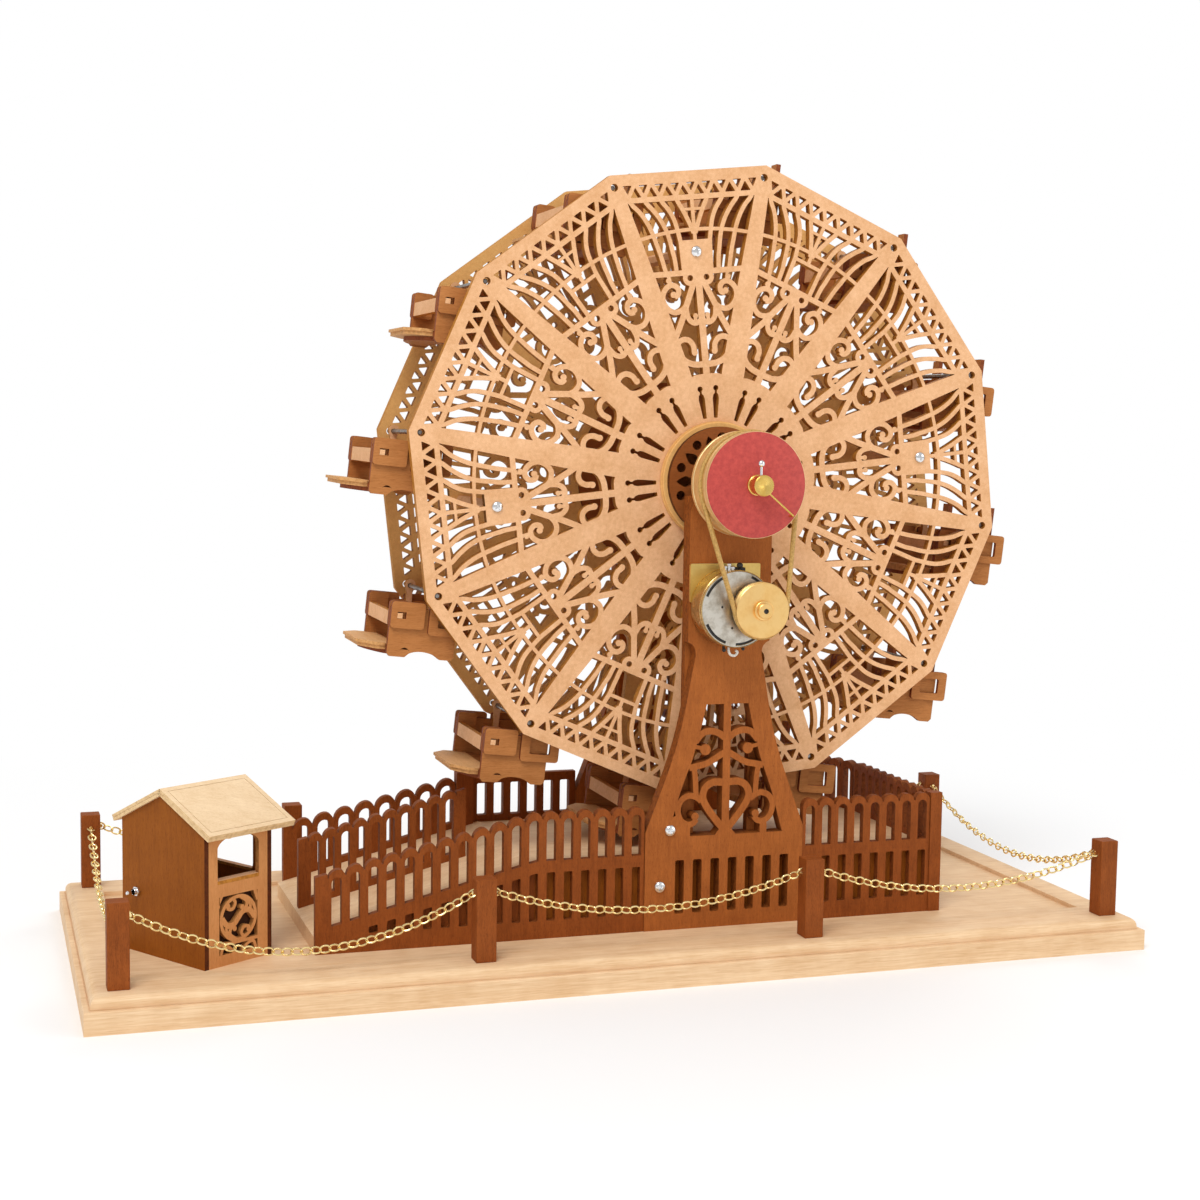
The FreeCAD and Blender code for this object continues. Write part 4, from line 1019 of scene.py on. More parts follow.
def chain_pattern() -> Pattern:
    """Tree that hangs links along the input curve.

    Returns:
        The tree; its sizes are Pitch, Length, Width, Wire, Twist and Finish.
    """
    made = Pattern("chain_links", [
        ("Pitch", VALUE, 0.005), ("Length", VALUE, 0.007),
        ("Width", VALUE, 0.0055), ("Wire", VALUE, 0.0011),
        ("Twist", VALUE, 0.7), ("Finish", "NodeSocketMaterial", None)])
    graph, given = made.graph, made.given
    line = graph.add("GeometryNodeMeshToCurve", {}, {"Mesh": given["Geometry"]})
    beads = graph.add("GeometryNodeResampleCurve", {"mode": "LENGTH"}, {
        "Curve": line.outputs[0], "Length": given["Pitch"]})
    points = graph.add("GeometryNodeCurveToPoints", {"mode": "EVALUATED"}, {"Curve": beads.outputs[0]})
    wide = graph.maths("MULTIPLY", graph.maths("SUBTRACT", given["Width"], given["Wire"]), 0.5)
    long = graph.maths("MULTIPLY", graph.maths("SUBTRACT", given["Length"], given["Wire"]), 0.5)
    oval = graph.add("GeometryNodeCurvePrimitiveCircle", {"mode": "RADIUS"},
                     {"Resolution": 14, "Radius": 1.0})
    shape = graph.add("GeometryNodeTransform", {}, {
        "Geometry": oval.outputs[0],
        "Scale": graph.add("ShaderNodeCombineXYZ", {}, {"X": long, "Y": wide, "Z": 1.0}).outputs[0]})
    section = graph.add("GeometryNodeCurvePrimitiveCircle", {"mode": "RADIUS"}, {
        "Resolution": 7, "Radius": graph.maths("MULTIPLY", given["Wire"], 0.5)})
    link = graph.add("GeometryNodeCurveToMesh", {}, {"Curve": shape.outputs[0],
                                                      "Profile Curve": section.outputs[0]})
    aim = graph.add("FunctionNodeAlignRotationToVector", {"axis": "X", "pivot_axis": "AUTO"}, {
        "Vector": points.outputs["Tangent"]})
    odd = graph.maths("MODULO", graph.add("GeometryNodeInputIndex").outputs[0], 2.0)
    side = graph.maths("MULTIPLY", graph.maths("SUBTRACT", graph.maths("MULTIPLY", odd, 2.0), 1.0),
                       given["Twist"])
    lean = graph.maths("ADD", side, 1.2)
    roll = graph.add("FunctionNodeAxisAngleToRotation", {}, {"Axis": (1, 0, 0), "Angle": lean})
    both = graph.add("FunctionNodeRotateRotation", {"rotation_space": "LOCAL"}, {
        "Rotation": aim.outputs[0], "Rotate By": roll.outputs[0]})
    links = graph.add("GeometryNodeInstanceOnPoints", {}, {
        "Points": points.outputs["Points"], "Instance": link.outputs[0], "Rotation": both.outputs[0]})
    made.end(links.outputs[0])
    return made


def pick_points(name: str, spots: Sequence[Vector], aims: Sequence[Vector]) -> Object:
    """Object whose points say where small pieces go.

    Args:
        name: Name of the object.
        spots: Points in metres.
        aims: Rotation of each piece, as Euler angles.

    Returns:
        The object.
    """
    mesh = bpy.data.meshes.new(name)
    mesh.from_pydata(list(spots), [], [])
    mesh.attributes.new("aim", "FLOAT_VECTOR", "POINT").data.foreach_set(
        "vector", [value for aim in aims for value in aim])
    return placed(name, mesh)


# ---- sub-assemblies

@dataclass
class Assembly:
    """What every sub-assembly has in common."""

    palette: Palette

    def put(self, shape: Shape, name: str, finish: Finish, slot: str, *nodes: str,
            body: Body = Body.STAND) -> Object:
        """Makes one piece and hands it over to the frame.

        Args:
            shape: Its faces.
            name: Its name.
            finish: Its finish.
            slot: Material slot of the record.
            nodes: Solids of the part that it stands for.
            body: Moving group that it rides on.

        Returns:
            The piece.
        """
        return settle(shape.build(name, self.palette[finish]), body.value, slot, *nodes)


def screw_head(radius: float, height: float, chrome: Material) -> Object:
    """Domed head with a cross recess, facing -Y from the origin.

    Args:
        radius: Radius of the head.
        height: Height of the dome.
        chrome: Finish of the head.

    Returns:
        An object to be copied by a node tree and then removed.
    """
    dome = [(radius * sin(radians(a)), -height * cos(radians(a)))
            for a in range(0, 91, 15)]
    shape = Shape()
    shape.lathe([*dome, (radius * 0.98, 0.35), (0.0, 0.35)], (0, 0, 0), 24)
    head = shape.build("screw_head", chrome)
    tool = Shape()
    long, thin = radius * 0.52, radius * 0.1
    tool.block((-long, -height - 1, -thin), (long, -height * 0.45, thin))
    tool.block((-thin, -height - 1, -long), (thin, -height * 0.42, long))
    cross = tool.build("cross", chrome)
    cutter = head.modifiers.new("recess", "BOOLEAN")
    cutter.operation, cutter.object, cutter.solver = "DIFFERENCE", cross, "EXACT"
    cutter.use_self = True
    mesh = plain_mesh(head)
    bpy.data.objects.remove(cross)
    return placed("screw_head", mesh)


def set_screws(name: str, palette: Palette, radius: float, height: float,
               places: Sequence[tuple[Sequence[float], float]]) -> Object:
    """Sets screw heads on faces that look along -Y or +Y.

    Args:
        name: Name of the piece.
        palette: The finishes.
        radius: Radius of a head.
        height: Height of a head.
        places: Centre of each head in millimetres and its turn about Z in degrees.

    Returns:
        One object with all the heads.
    """
    head = screw_head(radius, height, palette[Finish.CHROME])
    spots = [Vector(place) * MM for place, _ in places]
    aims = [Vector((0, radians(37 * number), radians(turn)))
            for number, (_, turn) in enumerate(places)]
    base = pick_points(name + "_points", spots, aims)
    made = stud_pattern().apply(base, name, {"Piece": head, "Finish": palette[Finish.CHROME]})
    bpy.data.objects.remove(head)
    return made


@dataclass
class Wheel(Assembly):
    """Two fretwork discs on one axle, with their rods, spacers and hub."""

    x: float = 67.0
    z: float = 310.0
    apothem: float = 202.0
    phase: float = 6.5
    gap: float = 44.0
    board: float = 6.0
    recess: float = 0.05
    fan: float = 183.5
    hanging: tuple[float, float, float] = (3.1, 194.75, 188.9)
    standing: tuple[float, float, float] = (3.7, 186.9, 193.3)
    pitch: float = 10.87
    chord: tuple[float, float] = (135.2, 138.8)
    scroll_foot: float = 71.0
    tall: float = 1.153
    spoke: tuple[float, float] = (4.8, 7.9)
    cross_arc: float = 164.5
    pad: tuple[float, float] = (11.0, 157.8)
    rib: float = 2.9
    pivot: float = 201.0
    pivot_hole: float = 2.5
    hub_hole: float = 31.0
    ring: float = 39.5
    ring_board: float = 5.0
    backing: float = 66.0
    rosette: float = 36.0
    rosette_board: float = 4.0
    tie: float = 150.0
    rod: float = 1.6
    slot_turn: float = 5.2
    leaves: int = 10
    bore: float = 3.02
    backing_board: float = 1.6

    def edge(self, y: float) -> float:
        """Half the free width between two spokes at a height in the sector.

        Args:
            y: Height, counted from the axle.

        Returns:
            Half the width.
        """
        slope = radians(STEP / 2)
        share = min(max((186 - y) / 100, 0.0), 1.0)
        half = self.spoke[0] + (self.spoke[1] - self.spoke[0]) * share
        return y * tan(slope) - half / cos(slope)

    def windows(self, padded: bool) -> list[Loop]:
        """The openings of one sector, its middle line upright.

        Args:
            padded: Whether the sector has the square pad of a spacer.

        Returns:
            The openings, without the fretwork that fills them.
        """
        truss = []
        for start, count, (half, base, tip) in ((-4.0, 9, self.hanging), (-3.5, 8, self.standing)):
            for number in range(count):
                x = (start + number) * self.pitch
                truss.append(rounded([(x - half, base), (x + half, base), (x, tip)], 0.45, 2))
        fan = [(self.edge(y), y) for y in np.linspace(self.chord[1], self.fan, 6)]
        fan = [*fan, *mirrored(fan)]
        if padded:
            half, top = self.pad
            fan += [(-half, self.chord[1]), (-half, top), (half, top), (half, self.chord[1])]
        side = [(self.edge(y), y) for y in np.linspace(self.scroll_foot - 1.5, self.chord[0], 5)]
        angle = degrees(atan2(side[0][0], side[0][1]))
        foot = arc(0, 0, self.scroll_foot, 90 + angle, 90 - angle, 8)
        scroll = [*side, *mirrored(side), *foot[1:-1]]
        return [*truss, fan, scroll]

    def lower(self, y: float) -> float:
        """Height of a point of the scrolls, drawn out towards the hub."""
        return self.chord[0] - (self.chord[0] - y) * self.tall

    def keyhole(self) -> list[Loop]:
        """One radial slot, widest at the hub, with a round head at its outer end.

        Returns:
            The slot and its head, on the upright radius.
        """
        body = [(-1.25, 41.8), (1.25, 41.8), (2.2, 54.6), (1.7, 57.0), (0.8, 58.2), (0.8, 61.0),
                (-0.8, 61.0), (-0.8, 58.2), (-1.7, 57.0), (-2.2, 54.6)]
        return [rounded(body, 0.5, 2), disc(0, 61.4, 1.85, 14)]

    def frame(self) -> Flat:
        """The disc without the fine fretwork.

        Returns:
            Its outline with every opening.
        """
        corner = self.apothem / cos(radians(STEP / 2))
        outline = [polar(corner, 90 + self.phase + STEP * (n + 0.5)) for n in range(SIDES)]
        cuts: list[Loop] = [disc(0, 0, self.hub_hole, 48)]
        for number in range(SIDES):
            turn = self.phase + STEP * number
            cuts += [turned(loop, turn) for loop in self.windows(number % 3 == 0)]
            for side in (-self.slot_turn, self.slot_turn):
                cuts += [turned(loop, turn + side) for loop in self.keyhole()]
            x, y = polar(self.pivot, 90 + turn + STEP / 2)
            cuts.append(disc(x, y, self.pivot_hole, 14))
        return Flat([outline], cuts)

    def fretwork(self) -> Flat:
        """The ribs and scrolls of one sector.

        Returns:
            The bands, with the sector upright.
        """
        ribs = [
            [(43.6, 186.4), (41.0, 182.2), (36.2, 177.1), (31.9, 170.2), (29.0, 163.5), (26.7, 156),
             (24.5, 148.5), (22.2, 138.2)],
            [(32.8, 186.2), (31.4, 183.0), (27.1, 178), (22.7, 171.7), (19.6, 165.2), (17.7, 158.7),
             (16.2, 150.6), (15.3, 146), (14.7, 138.2)],
            [(21.9, 186.2), (20.5, 183), (16.5, 177.6), (13.5, 171.7), (11.8, 165.2), (10.8, 160),
             (10.2, 156), (9.9, 148), (9.6, 138.2)],
            [(10.9, 186.2), (9.9, 183), (7.1, 177.6), (3.9, 170.7), (1.7, 165), (0.6, 162)]]
        curls = [
            ([(10.3, 118.2), (13.5, 116.0), (18.4, 115.2), (22.9, 117.4), (25.6, 121.6), (25.2, 126.2),
              (21.7, 129.8), (17.6, 130.3), (14.7, 128.0), (15.0, 124.9), (17.6, 123.9)], 3.5),
            ([(20.6, 135.9), (20.3, 133.4), (19.4, 130.2)], 2.6),
            ([(3.6, 130.8), (7.4, 123.5), (10.9, 116.6), (13.0, 112.0), (16.4, 106.0), (20.6, 99.0)], 4.0),
            ([(10.3, 116.4), (9.5, 111.9), (7.3, 109.2), (4.4, 108.3), (1.2, 109.4)], 3.4),
            ([(4.6, 108.6), (4.5, 110.2), (4.2, 112.0)], 2.4),
            ([(19.4, 94.6), (17.6, 98.2), (13.9, 99.7), (10.0, 98.8), (7.6, 95.8), (7.3, 92.4)], 3.6),
            ([(19.2, 96.0), (17.0, 90.8), (13.4, 87.2), (8.6, 85.4), (4, 84.9), (-1, 84.9)], 4.0)]
        knobs = [(18.2, 125.1, 2.1), (20.7, 133.0, 1.9), (4.2, 112.4, 1.7), (7.0, 91.9, 2.1)]
        one = [ribbon(line, self.rib) for line in ribs]
        one += [ribbon([(x, self.lower(y)) for x, y in line], width) for line, width in curls]
        one += [disc(x, self.lower(y), radius, 14) for x, y, radius in knobs]
        one.append(disc(5.7, 133.4, 5.1, 20))
        bands = one + [mirrored(loop) for loop in one]
        reach = degrees(asin((self.edge(self.cross_arc - 4) + 1.2) / self.cross_arc))
        bands += [ribbon(arc(0, 0, self.cross_arc, 90 - reach, 90 + reach, 14), 2.3, 0),
                  rectangle(-1.25, 156.0, 1.25, 184.2), rectangle(-2.3, 69.8, 2.3, 136.0),
                  rectangle(-6.9, 176.6, 6.9, 178.4), rectangle(-5.0, 128.6, 5.0, 136.0),
                  rectangle(-11.2, 155.5, 11.2, 157.8)]
        return Flat(bands, [disc(5.7, 133.4, 2.0, 12), disc(-5.7, 133.4, 2.0, 12)])

    def discs(self) -> None:
        """Builds both discs."""
        frame, fretwork = self.frame(), self.fretwork()
        # Both discs are the same birch; the rear one's golden finish is painted light that lifts the shade
        # falling between them.
        for name, y, finish in (("front", -self.gap - self.board, Finish.BIRCH),
                                ("rear", self.gap, Finish.GOLDEN)):
            plate = Shape()
            plate.board(frame, Plane((self.x, y, self.z)), self.board)
            self.put(plate, "wheel_disc_" + name + "_frame", finish, "pale_maple", "wheel_disc_" + name,
                     body=Body.WHEEL)
            sector = Shape()
            flat = Flat([turned(loop, self.phase) for loop in fretwork.solids],
                        [turned(loop, self.phase) for loop in fretwork.cuts])
            sector.board(flat, Plane((0, y, 0)), self.board - 2 * self.recess, self.recess)
            base = sector.build("sector_" + name, self.palette[finish])
            made = sector_pattern().apply(base, "wheel_disc_" + name + "_fretwork", {
                "Centre": (self.x * MM, 0, self.z * MM), "Finish": self.palette[finish]})
            settle(made, Body.WHEEL.value, "pale_maple")

    def leaf(self) -> Loop:
        """Wavy leaf that points at the axle, on the upright radius.

        Returns:
            Its outline.
        """
        side = smooth([(0.0, 31.2), (1.9, 28.6), (3.5, 24.6), (2.0, 20.6), (3.2, 17.0), (2.3, 13.6),
                       (0.0, 10.6)], 4)
        return [*[(-x, y) for x, y in side], *[(x, y) for x, y in reversed(side[1:-1])]]

    def hubs(self) -> None:
        """Builds the stepped rings and the pierced rosettes on both discs."""
        rings, plates = Shape(), Shape()
        cuts = [disc(0, 0, self.bore, 20)]
        step = 360 // self.leaves
        for number in range(self.leaves):
            cuts.append(disc(*polar(29.3, 90 + step * number), 3.1, 16))
            cuts.append(turned(self.leaf(), step // 2 + step * number))
        rosette = Flat([disc(0, 0, self.rosette, 72)], cuts)
        start = self.gap + self.board
        radius, hole, deep = self.ring, self.hub_hole + 0.5, self.ring_board
        profile = [(hole, 0.0), (radius - 1.0, 0.0), (radius - 1.0, 0.6), (radius, 0.9), (radius, 2.0),
                   (radius - 1.7, 2.4), (radius - 1.7, 3.0), (radius - 0.6, 3.4),
                   (radius - 0.6, deep - 0.5), (radius - 1.1, deep), (hole, deep), (hole, 0.0)]
        rings.lathe(profile, (self.x, start, self.z), 72)
        rings.lathe([(r, -y) for r, y in reversed(profile)], (self.x, -start, self.z), 72)
        backing = Flat([disc(0, 0, self.backing, 72)], [disc(0, 0, self.bore, 20)])
        backs = Shape()
        for y in (-self.gap, self.gap - self.backing_board):
            backs.board(backing, Plane((self.x, y, self.z)), self.backing_board)
        self.put(backs, "hub_backing_discs", Finish.ROSEWOOD, "brown_ply", body=Body.WHEEL)
        face = start + deep + self.rosette_board
        plates.board(rosette, Plane((self.x, -face, self.z)), self.rosette_board)
        plates.board(rosette, Plane((self.x, face - self.rosette_board, self.z)), self.rosette_board)
        self.put(rings, "hub_rings_turned", Finish.GOLDEN, "tan_ply", "hub_rings", body=Body.WHEEL)
        self.put(plates, "hub_rosettes_pierced", Finish.ROSEWOOD, "brown_ply", "hub_rosettes",
                 body=Body.WHEEL)

    def pivot_point(self, number: int) -> tuple[float, float]:
        """Middle of a gondola's rod, from its number, in the part's X and Z."""
        x, z = polar(self.pivot, STEP * (number - 0.5) + self.phase)
        return self.x + x, self.z + z

    def rods(self) -> None:
        """Builds the rods that carry the gondolas."""
        shape = Shape()
        reach = self.gap + self.board - 3.4
        for number in range(1, SIDES + 1):
            x, z = self.pivot_point(number)
            end = self.rod - 0.35
            shape.lathe([(0, -reach), (end, -reach), (self.rod, 0.35 - reach), (self.rod, reach - 0.35),
                         (end, reach), (0, reach)], (x, 0, z), 12)
        self.put(shape, "gondola_rods_round", Finish.STEEL, "rod_steel", "gondola_rods", body=Body.WHEEL)

    def screws(self) -> None:
        """Sets the screws that hold the spacers."""
        face = self.gap + self.board
        places = []
        for number in range(4):
            x, z = polar(self.tie, 90 * number + self.phase)
            places += [((self.x + x, -face, self.z + z), 0.0), ((self.x + x, face, self.z + z), 180.0)]
        made = set_screws("tie_screws", self.palette, 3.9, 2.3, places)
        settle(made, Body.WHEEL.value, "switch_metal")

    def make(self) -> None:
        """Builds the whole wheel."""
        self.discs()
        self.hubs()
        self.rods()
        self.screws()


# ---- drive

@dataclass
class Drive(Assembly):
    """Large pulley on the axle, round belt, small pulley and geared motor."""

    x: float = 67.0
    z: float = 310.0
    front: float = -119.0
    back: float = -92.0
    radius: float = 33.7
    belt_y: float = -108.0
    belt: float = 1.6
    belt_high: float = 33.2
    belt_low: float = 17.5
    small_x: float = 77.0
    small_z: float = 230.0
    small: float = 18.0
    hub: float = 6.6
    hub_front: float = -132.0
    axle_end: float = 85.0
    can_x: float = 64.0
    can: float = 25.0
    can_front: float = -100.0
    can_back: float = -81.0
    can_plate: float = 24.2
    can_slot: tuple[float, float] = (21.7, 23.6)
    bracket: tuple[float, float, float, float] = (38.5, 233.0, 87.0, 258.0)
    bracket_board: float = 2.0

    def pulley(self) -> None:
        """Builds the large pulley and its red facing."""
        r, y, front, back = self.radius, self.belt_y, self.front, self.back
        shape = Shape()
        shape.lathe([(0, front + 0.4), (r - 0.5, front + 0.4), (r - 0.2, front + 0.3),
                     (r, front + 0.6), (r, y - 7.4), (r - 0.3, y - 7.1), (r, y - 6.8),
                     (r, y - 4.6), (r - 0.5, y - 4.2), (r - 0.5, y - 2.6),
                     (r - 2.5, y - 0.7), (r - 2.5, y + 0.7), (r - 0.3, y + 2.6), (r, y + 3.2),
                     (r, back - 4.6), (r - 0.5, back - 4.2), (r - 0.5, back - 3.6),
                     (r, back - 3.2), (r, back - 0.6), (r - 0.6, back), (0, back)],
                    (self.x, 0, self.z), 96)
        self.put(shape, "drive_pulley_turned", Finish.RIM, "pulley_brass", "drive_pulley", body=Body.WHEEL)
        face = Shape()
        face.lathe([(0, front), (r - 0.8, front), (r - 0.45, front + 0.2),
                    (r - 0.45, front + 0.38), (0, front + 0.38)], (self.x, 0, self.z), 96)
        self.put(face, "pulley_facing", Finish.RED, "pulley_brass", body=Body.WHEEL)

    def boss(self) -> None:
        """Builds the axle, the hub, its thumbscrew and the wire arm."""
        r, y = self.hub, self.hub_front
        axle = Shape()
        end = self.axle_end
        axle.lathe([(0, y + 1.5), (3.0, y + 1.5), (3.0, end - 0.5), (2.5, end), (0, end)],
                   (self.x, 0, self.z), 32)
        self.put(axle, "axle_turned", Finish.STEEL, "rod_steel", "axle", body=Body.WHEEL)
        shape = Shape()
        shape.lathe([(0, y + 0.35), (0.9, y + 0.2), (1.2, y), (r - 0.5, y), (r, y + 0.5), (r, y + 4.2),
                     (r - 0.6, y + 4.6), (r - 0.6, self.front - 2.2), (r - 0.1, self.front - 1.9),
                     (r - 0.1, self.front), (0, self.front)], (self.x, 0, self.z), 48)
        self.put(shape, "pulley_hub_turned", Finish.BRASS, "brass", "pulley_hub", body=Body.WHEEL)
        stud = Shape()
        top = self.z + 13.6
        turn = Matrix.Rotation(radians(90), 3, "X")
        ball = [(2.3 * sin(radians(a)), 2.3 * -cos(radians(a)))
                for a in range(0, 180, 15)]
        stud.lathe([(0, -8.6), (1.25, -8.6), (1.25, -7.2), (0.9, -6.8), (0.9, -2.0),
                    *[point for point in ball if point[1] > -2.0], (0, 2.3)],
                   (self.x, y + 6.0, top), 20, turn)
        self.put(stud, "thumb_screw", Finish.CHROME, "switch_metal", body=Body.WHEEL)
        across, up = polar(1.0, -40.0)
        line = [(self.x + across * s, y + 6.5, self.z + up * s) for s in (4.0, 15.0, 28.6, 29.6)]
        line += [(self.x + across * 30.1, y + 7.1, self.z + up * 30.1),
                 (self.x + across * 30.2, y + 8.5, self.z + up * 30.2),
                 (self.x + across * 30.2, self.front + 0.3, self.z + up * 30.2)]
        wire = Shape()
        wire.tube(line, 0.62, 10)
        self.put(wire, "drive_wire_round", Finish.BRASS, "brass", "drive_wire", body=Body.WHEEL)

    def cord(self) -> None:
        """Builds the closed belt round both pulleys."""
        high, low = Vector((self.x, self.z)), Vector((self.small_x, self.small_z))
        span = low - high
        lean = degrees(atan2(span.y, span.x))
        open_angle = degrees(acos((self.belt_high - self.belt_low) / span.length))
        over = arc(high.x, high.y, self.belt_high, lean + open_angle, lean + 360 - open_angle, 40)
        under = arc(low.x, low.y, self.belt_low, lean - open_angle, lean + open_angle, 24)
        path = [(x, self.belt_y, z) for x, z in [*over, *under]]
        shape = Shape()
        shape.tube(path, self.belt, 12, closed=True)
        self.put(shape, "drive_belt_round", Finish.BELT, "belt", "drive_belt")

    def small_pulley(self) -> None:
        """Builds the small pulley with its stepped boss and shaft, and a black disc of painted shade deep
        in its bore.
        """
        r, y, front = self.small, self.belt_y, self.belt_y - 5.0
        shape = Shape()
        shape.lathe([(0, y - 1.0), (1.7, y - 1.0), (1.7, front - 3.0), (4.7, front - 3.0),
                     (5.1, front - 2.6), (5.1, front - 0.6), (4.8, front - 0.3), (6.0, front - 0.1),
                     (6.4, front + 0.3), (6.4, front + 2.4), (r - 0.4, front + 2.4),
                     (r, front + 2.75), (r, y - 2.1), (r - 2.4, y - 0.7),
                     (r - 2.4, y + 0.7), (r, y + 2.1), (r, y + 4.4), (r - 0.5, y + 5.0), (2.5, y + 5.0),
                     (2.5, self.back - 1.0), (0, self.back - 1.0)], (self.small_x, 0, self.small_z), 64)
        self.put(shape, "motor_pulley_turned", Finish.SMALL, "pulley_brass", "motor_pulley",
                 body=Body.MOTOR_PULLEY)
        # Painted shade: a black disc deep in the bore, so the hole reads dark.
        bore = Shape()
        bore.lathe([(0, front - 2.2), (1.72, front - 2.2), (1.72, front - 1.2), (0, front - 1.2)],
                   (self.small_x, 0, self.small_z), 20)
        self.put(bore, "motor_pulley_bore", Finish.BLACK, "motor_metal", body=Body.MOTOR_PULLEY)

    def motor(self) -> None:
        """Builds the motor can with its pierced front, a black disc of painted shade behind the slots,
        terminals and bracket.
        """
        r, front, back = self.can, self.can_front, self.can_back
        can, side = Shape(), Shape()
        side.lathe([(0, front + 1.3), (self.can_plate, front + 1.3), (24.3, front + 0.2), (24.5, front),
                   (24.6, front), (r, front + 0.5), (r, front + 2.2), (r - 0.35, front + 2.5),
                   (r - 0.35, front + 2.9), (r, front + 3.2), (r, back - 0.8), (r - 0.8, back),
                   (0, back)], (self.can_x, 0, self.small_z), 72)
        cuts: list[Loop] = []
        inner, outer = self.can_slot
        for start, end in ((28, 66), (110, 158), (204, 250), (268, 308)):
            cuts.append([*arc(0, 0, outer, start, end, 8), *arc(0, 0, inner, end, start, 8)])
        cuts += [disc(x, z, h, 12) for x, z, h in ((-10.5, 1.5, 0.8), (-3.5, -12.0, 0.8),
                                                   (-5.5, 11.0, 0.9))]
        plate = Flat([disc(0, 0, self.can_plate, 64)], cuts)
        can.board(plate, Plane((self.can_x, front + 0.35, self.small_z)), 0.8)
        for x, z, h in ((-10.5, 1.5, 2.3), (-3.5, -12.0, 1.7), (-5.5, 11.0, 2.0), (2.0, -17.0, 0.8)):
            can.lathe([(h * 0.45, 0.1), (h * 0.5, -0.15), (h, -0.15), (h + 0.2, 0.15)],
                      (self.can_x + x, front + 0.3, self.small_z + z), 16)
        self.put(can, "motor_can_face", Finish.CAN, "motor_metal")
        self.put(side, "motor_can_pressed", Finish.CAN_SIDE, "motor_metal", "motor_can")
        # Painted shade: a black disc just behind the pierced face, so the slots read dark.
        shade = Shape()
        shade.lathe([(0, front + 1.2), (23.4, front + 1.2), (23.4, front + 1.28), (0, front + 1.28)],
                    (self.can_x, 0, self.small_z), 48)
        self.put(shade, "can_slot_shade", Finish.BLACK, "motor_metal")
        block = Shape()
        top = self.small_z + r - 0.8
        low = self.small_z - r
        ball = [(sin(radians(a)), -cos(radians(a))) for a in range(0, 181, 20)]
        for x, y, z, size in ((3.2, 6.0, top + 3.4, 2.1), (-7.3, 4.0, low - 1.4, 1.4),
                              (6.2, 5.0, low - 1.0, 1.2)):
            block.lathe([(p * size, q * size) for p, q in ball], (self.can_x + x, front + y, z), 16)
        block.block((self.can_x - 2.0, front + 7, top - 1), (self.can_x + 7.5, front + 14, top + 2.0))
        for x, z in ((-7.3, low), (6.2, low)):
            block.block((self.can_x + x - 0.5, front + 4, z - 1.0),
                        (self.can_x + x + 0.5, front + 6, z + 1.6))
        self.put(block, "terminal_block", Finish.BLACK, "motor_metal")
        posts = Shape()
        upright = Matrix.Rotation(radians(90), 3, "X")
        for x, tall in ((-7.2, 3.4), (-4.4, 5.0), (-1.9, 3.0)):
            posts.lathe([(0, -1.6), (1.1, -1.6), (1.1, tall - 1.6), (1.5, tall - 1.4), (1.5, tall - 0.3),
                         (1.1, tall), (0, tall)], (self.can_x + x, front + 5.5, top), 14, upright)
        self.put(posts, "terminal_posts", Finish.CHROME, "motor_metal")
        leads = Shape()
        leads.tube([(self.can_x - 9 + s * 1.6, front + 6 + s * 0.9, top - 0.2 + sin(s) * 1.6)
                    for s in np.linspace(0, 5, 14)], 0.8, 8)
        leads.tube([(self.can_x - 1 + x, front + 4.5, low + z) for x, z in smooth(
            [(-2.6, 2.0), (-3.0, -1.6), (-1.6, -4.6), (1.4, -5.2), (3.2, -3.2), (1.8, -1.9)], 5)], 0.85, 8)
        self.put(leads, "lead_ends", Finish.LEAD, "motor_metal")
        bracket = Shape()
        outline = rounded(rectangle(*self.bracket), 1.2, 3)
        bracket.board(Flat([outline]), Plane((0, back, 0)), self.bracket_board)
        self.put(bracket, "motor_bracket_plate", Finish.BRACKET, "brass", "motor_bracket")

    def make(self) -> None:
        """Builds the whole drive."""
        self.pulley()
        self.boss()
        self.cord()
        self.small_pulley()
        self.motor()


# ---- gondolas

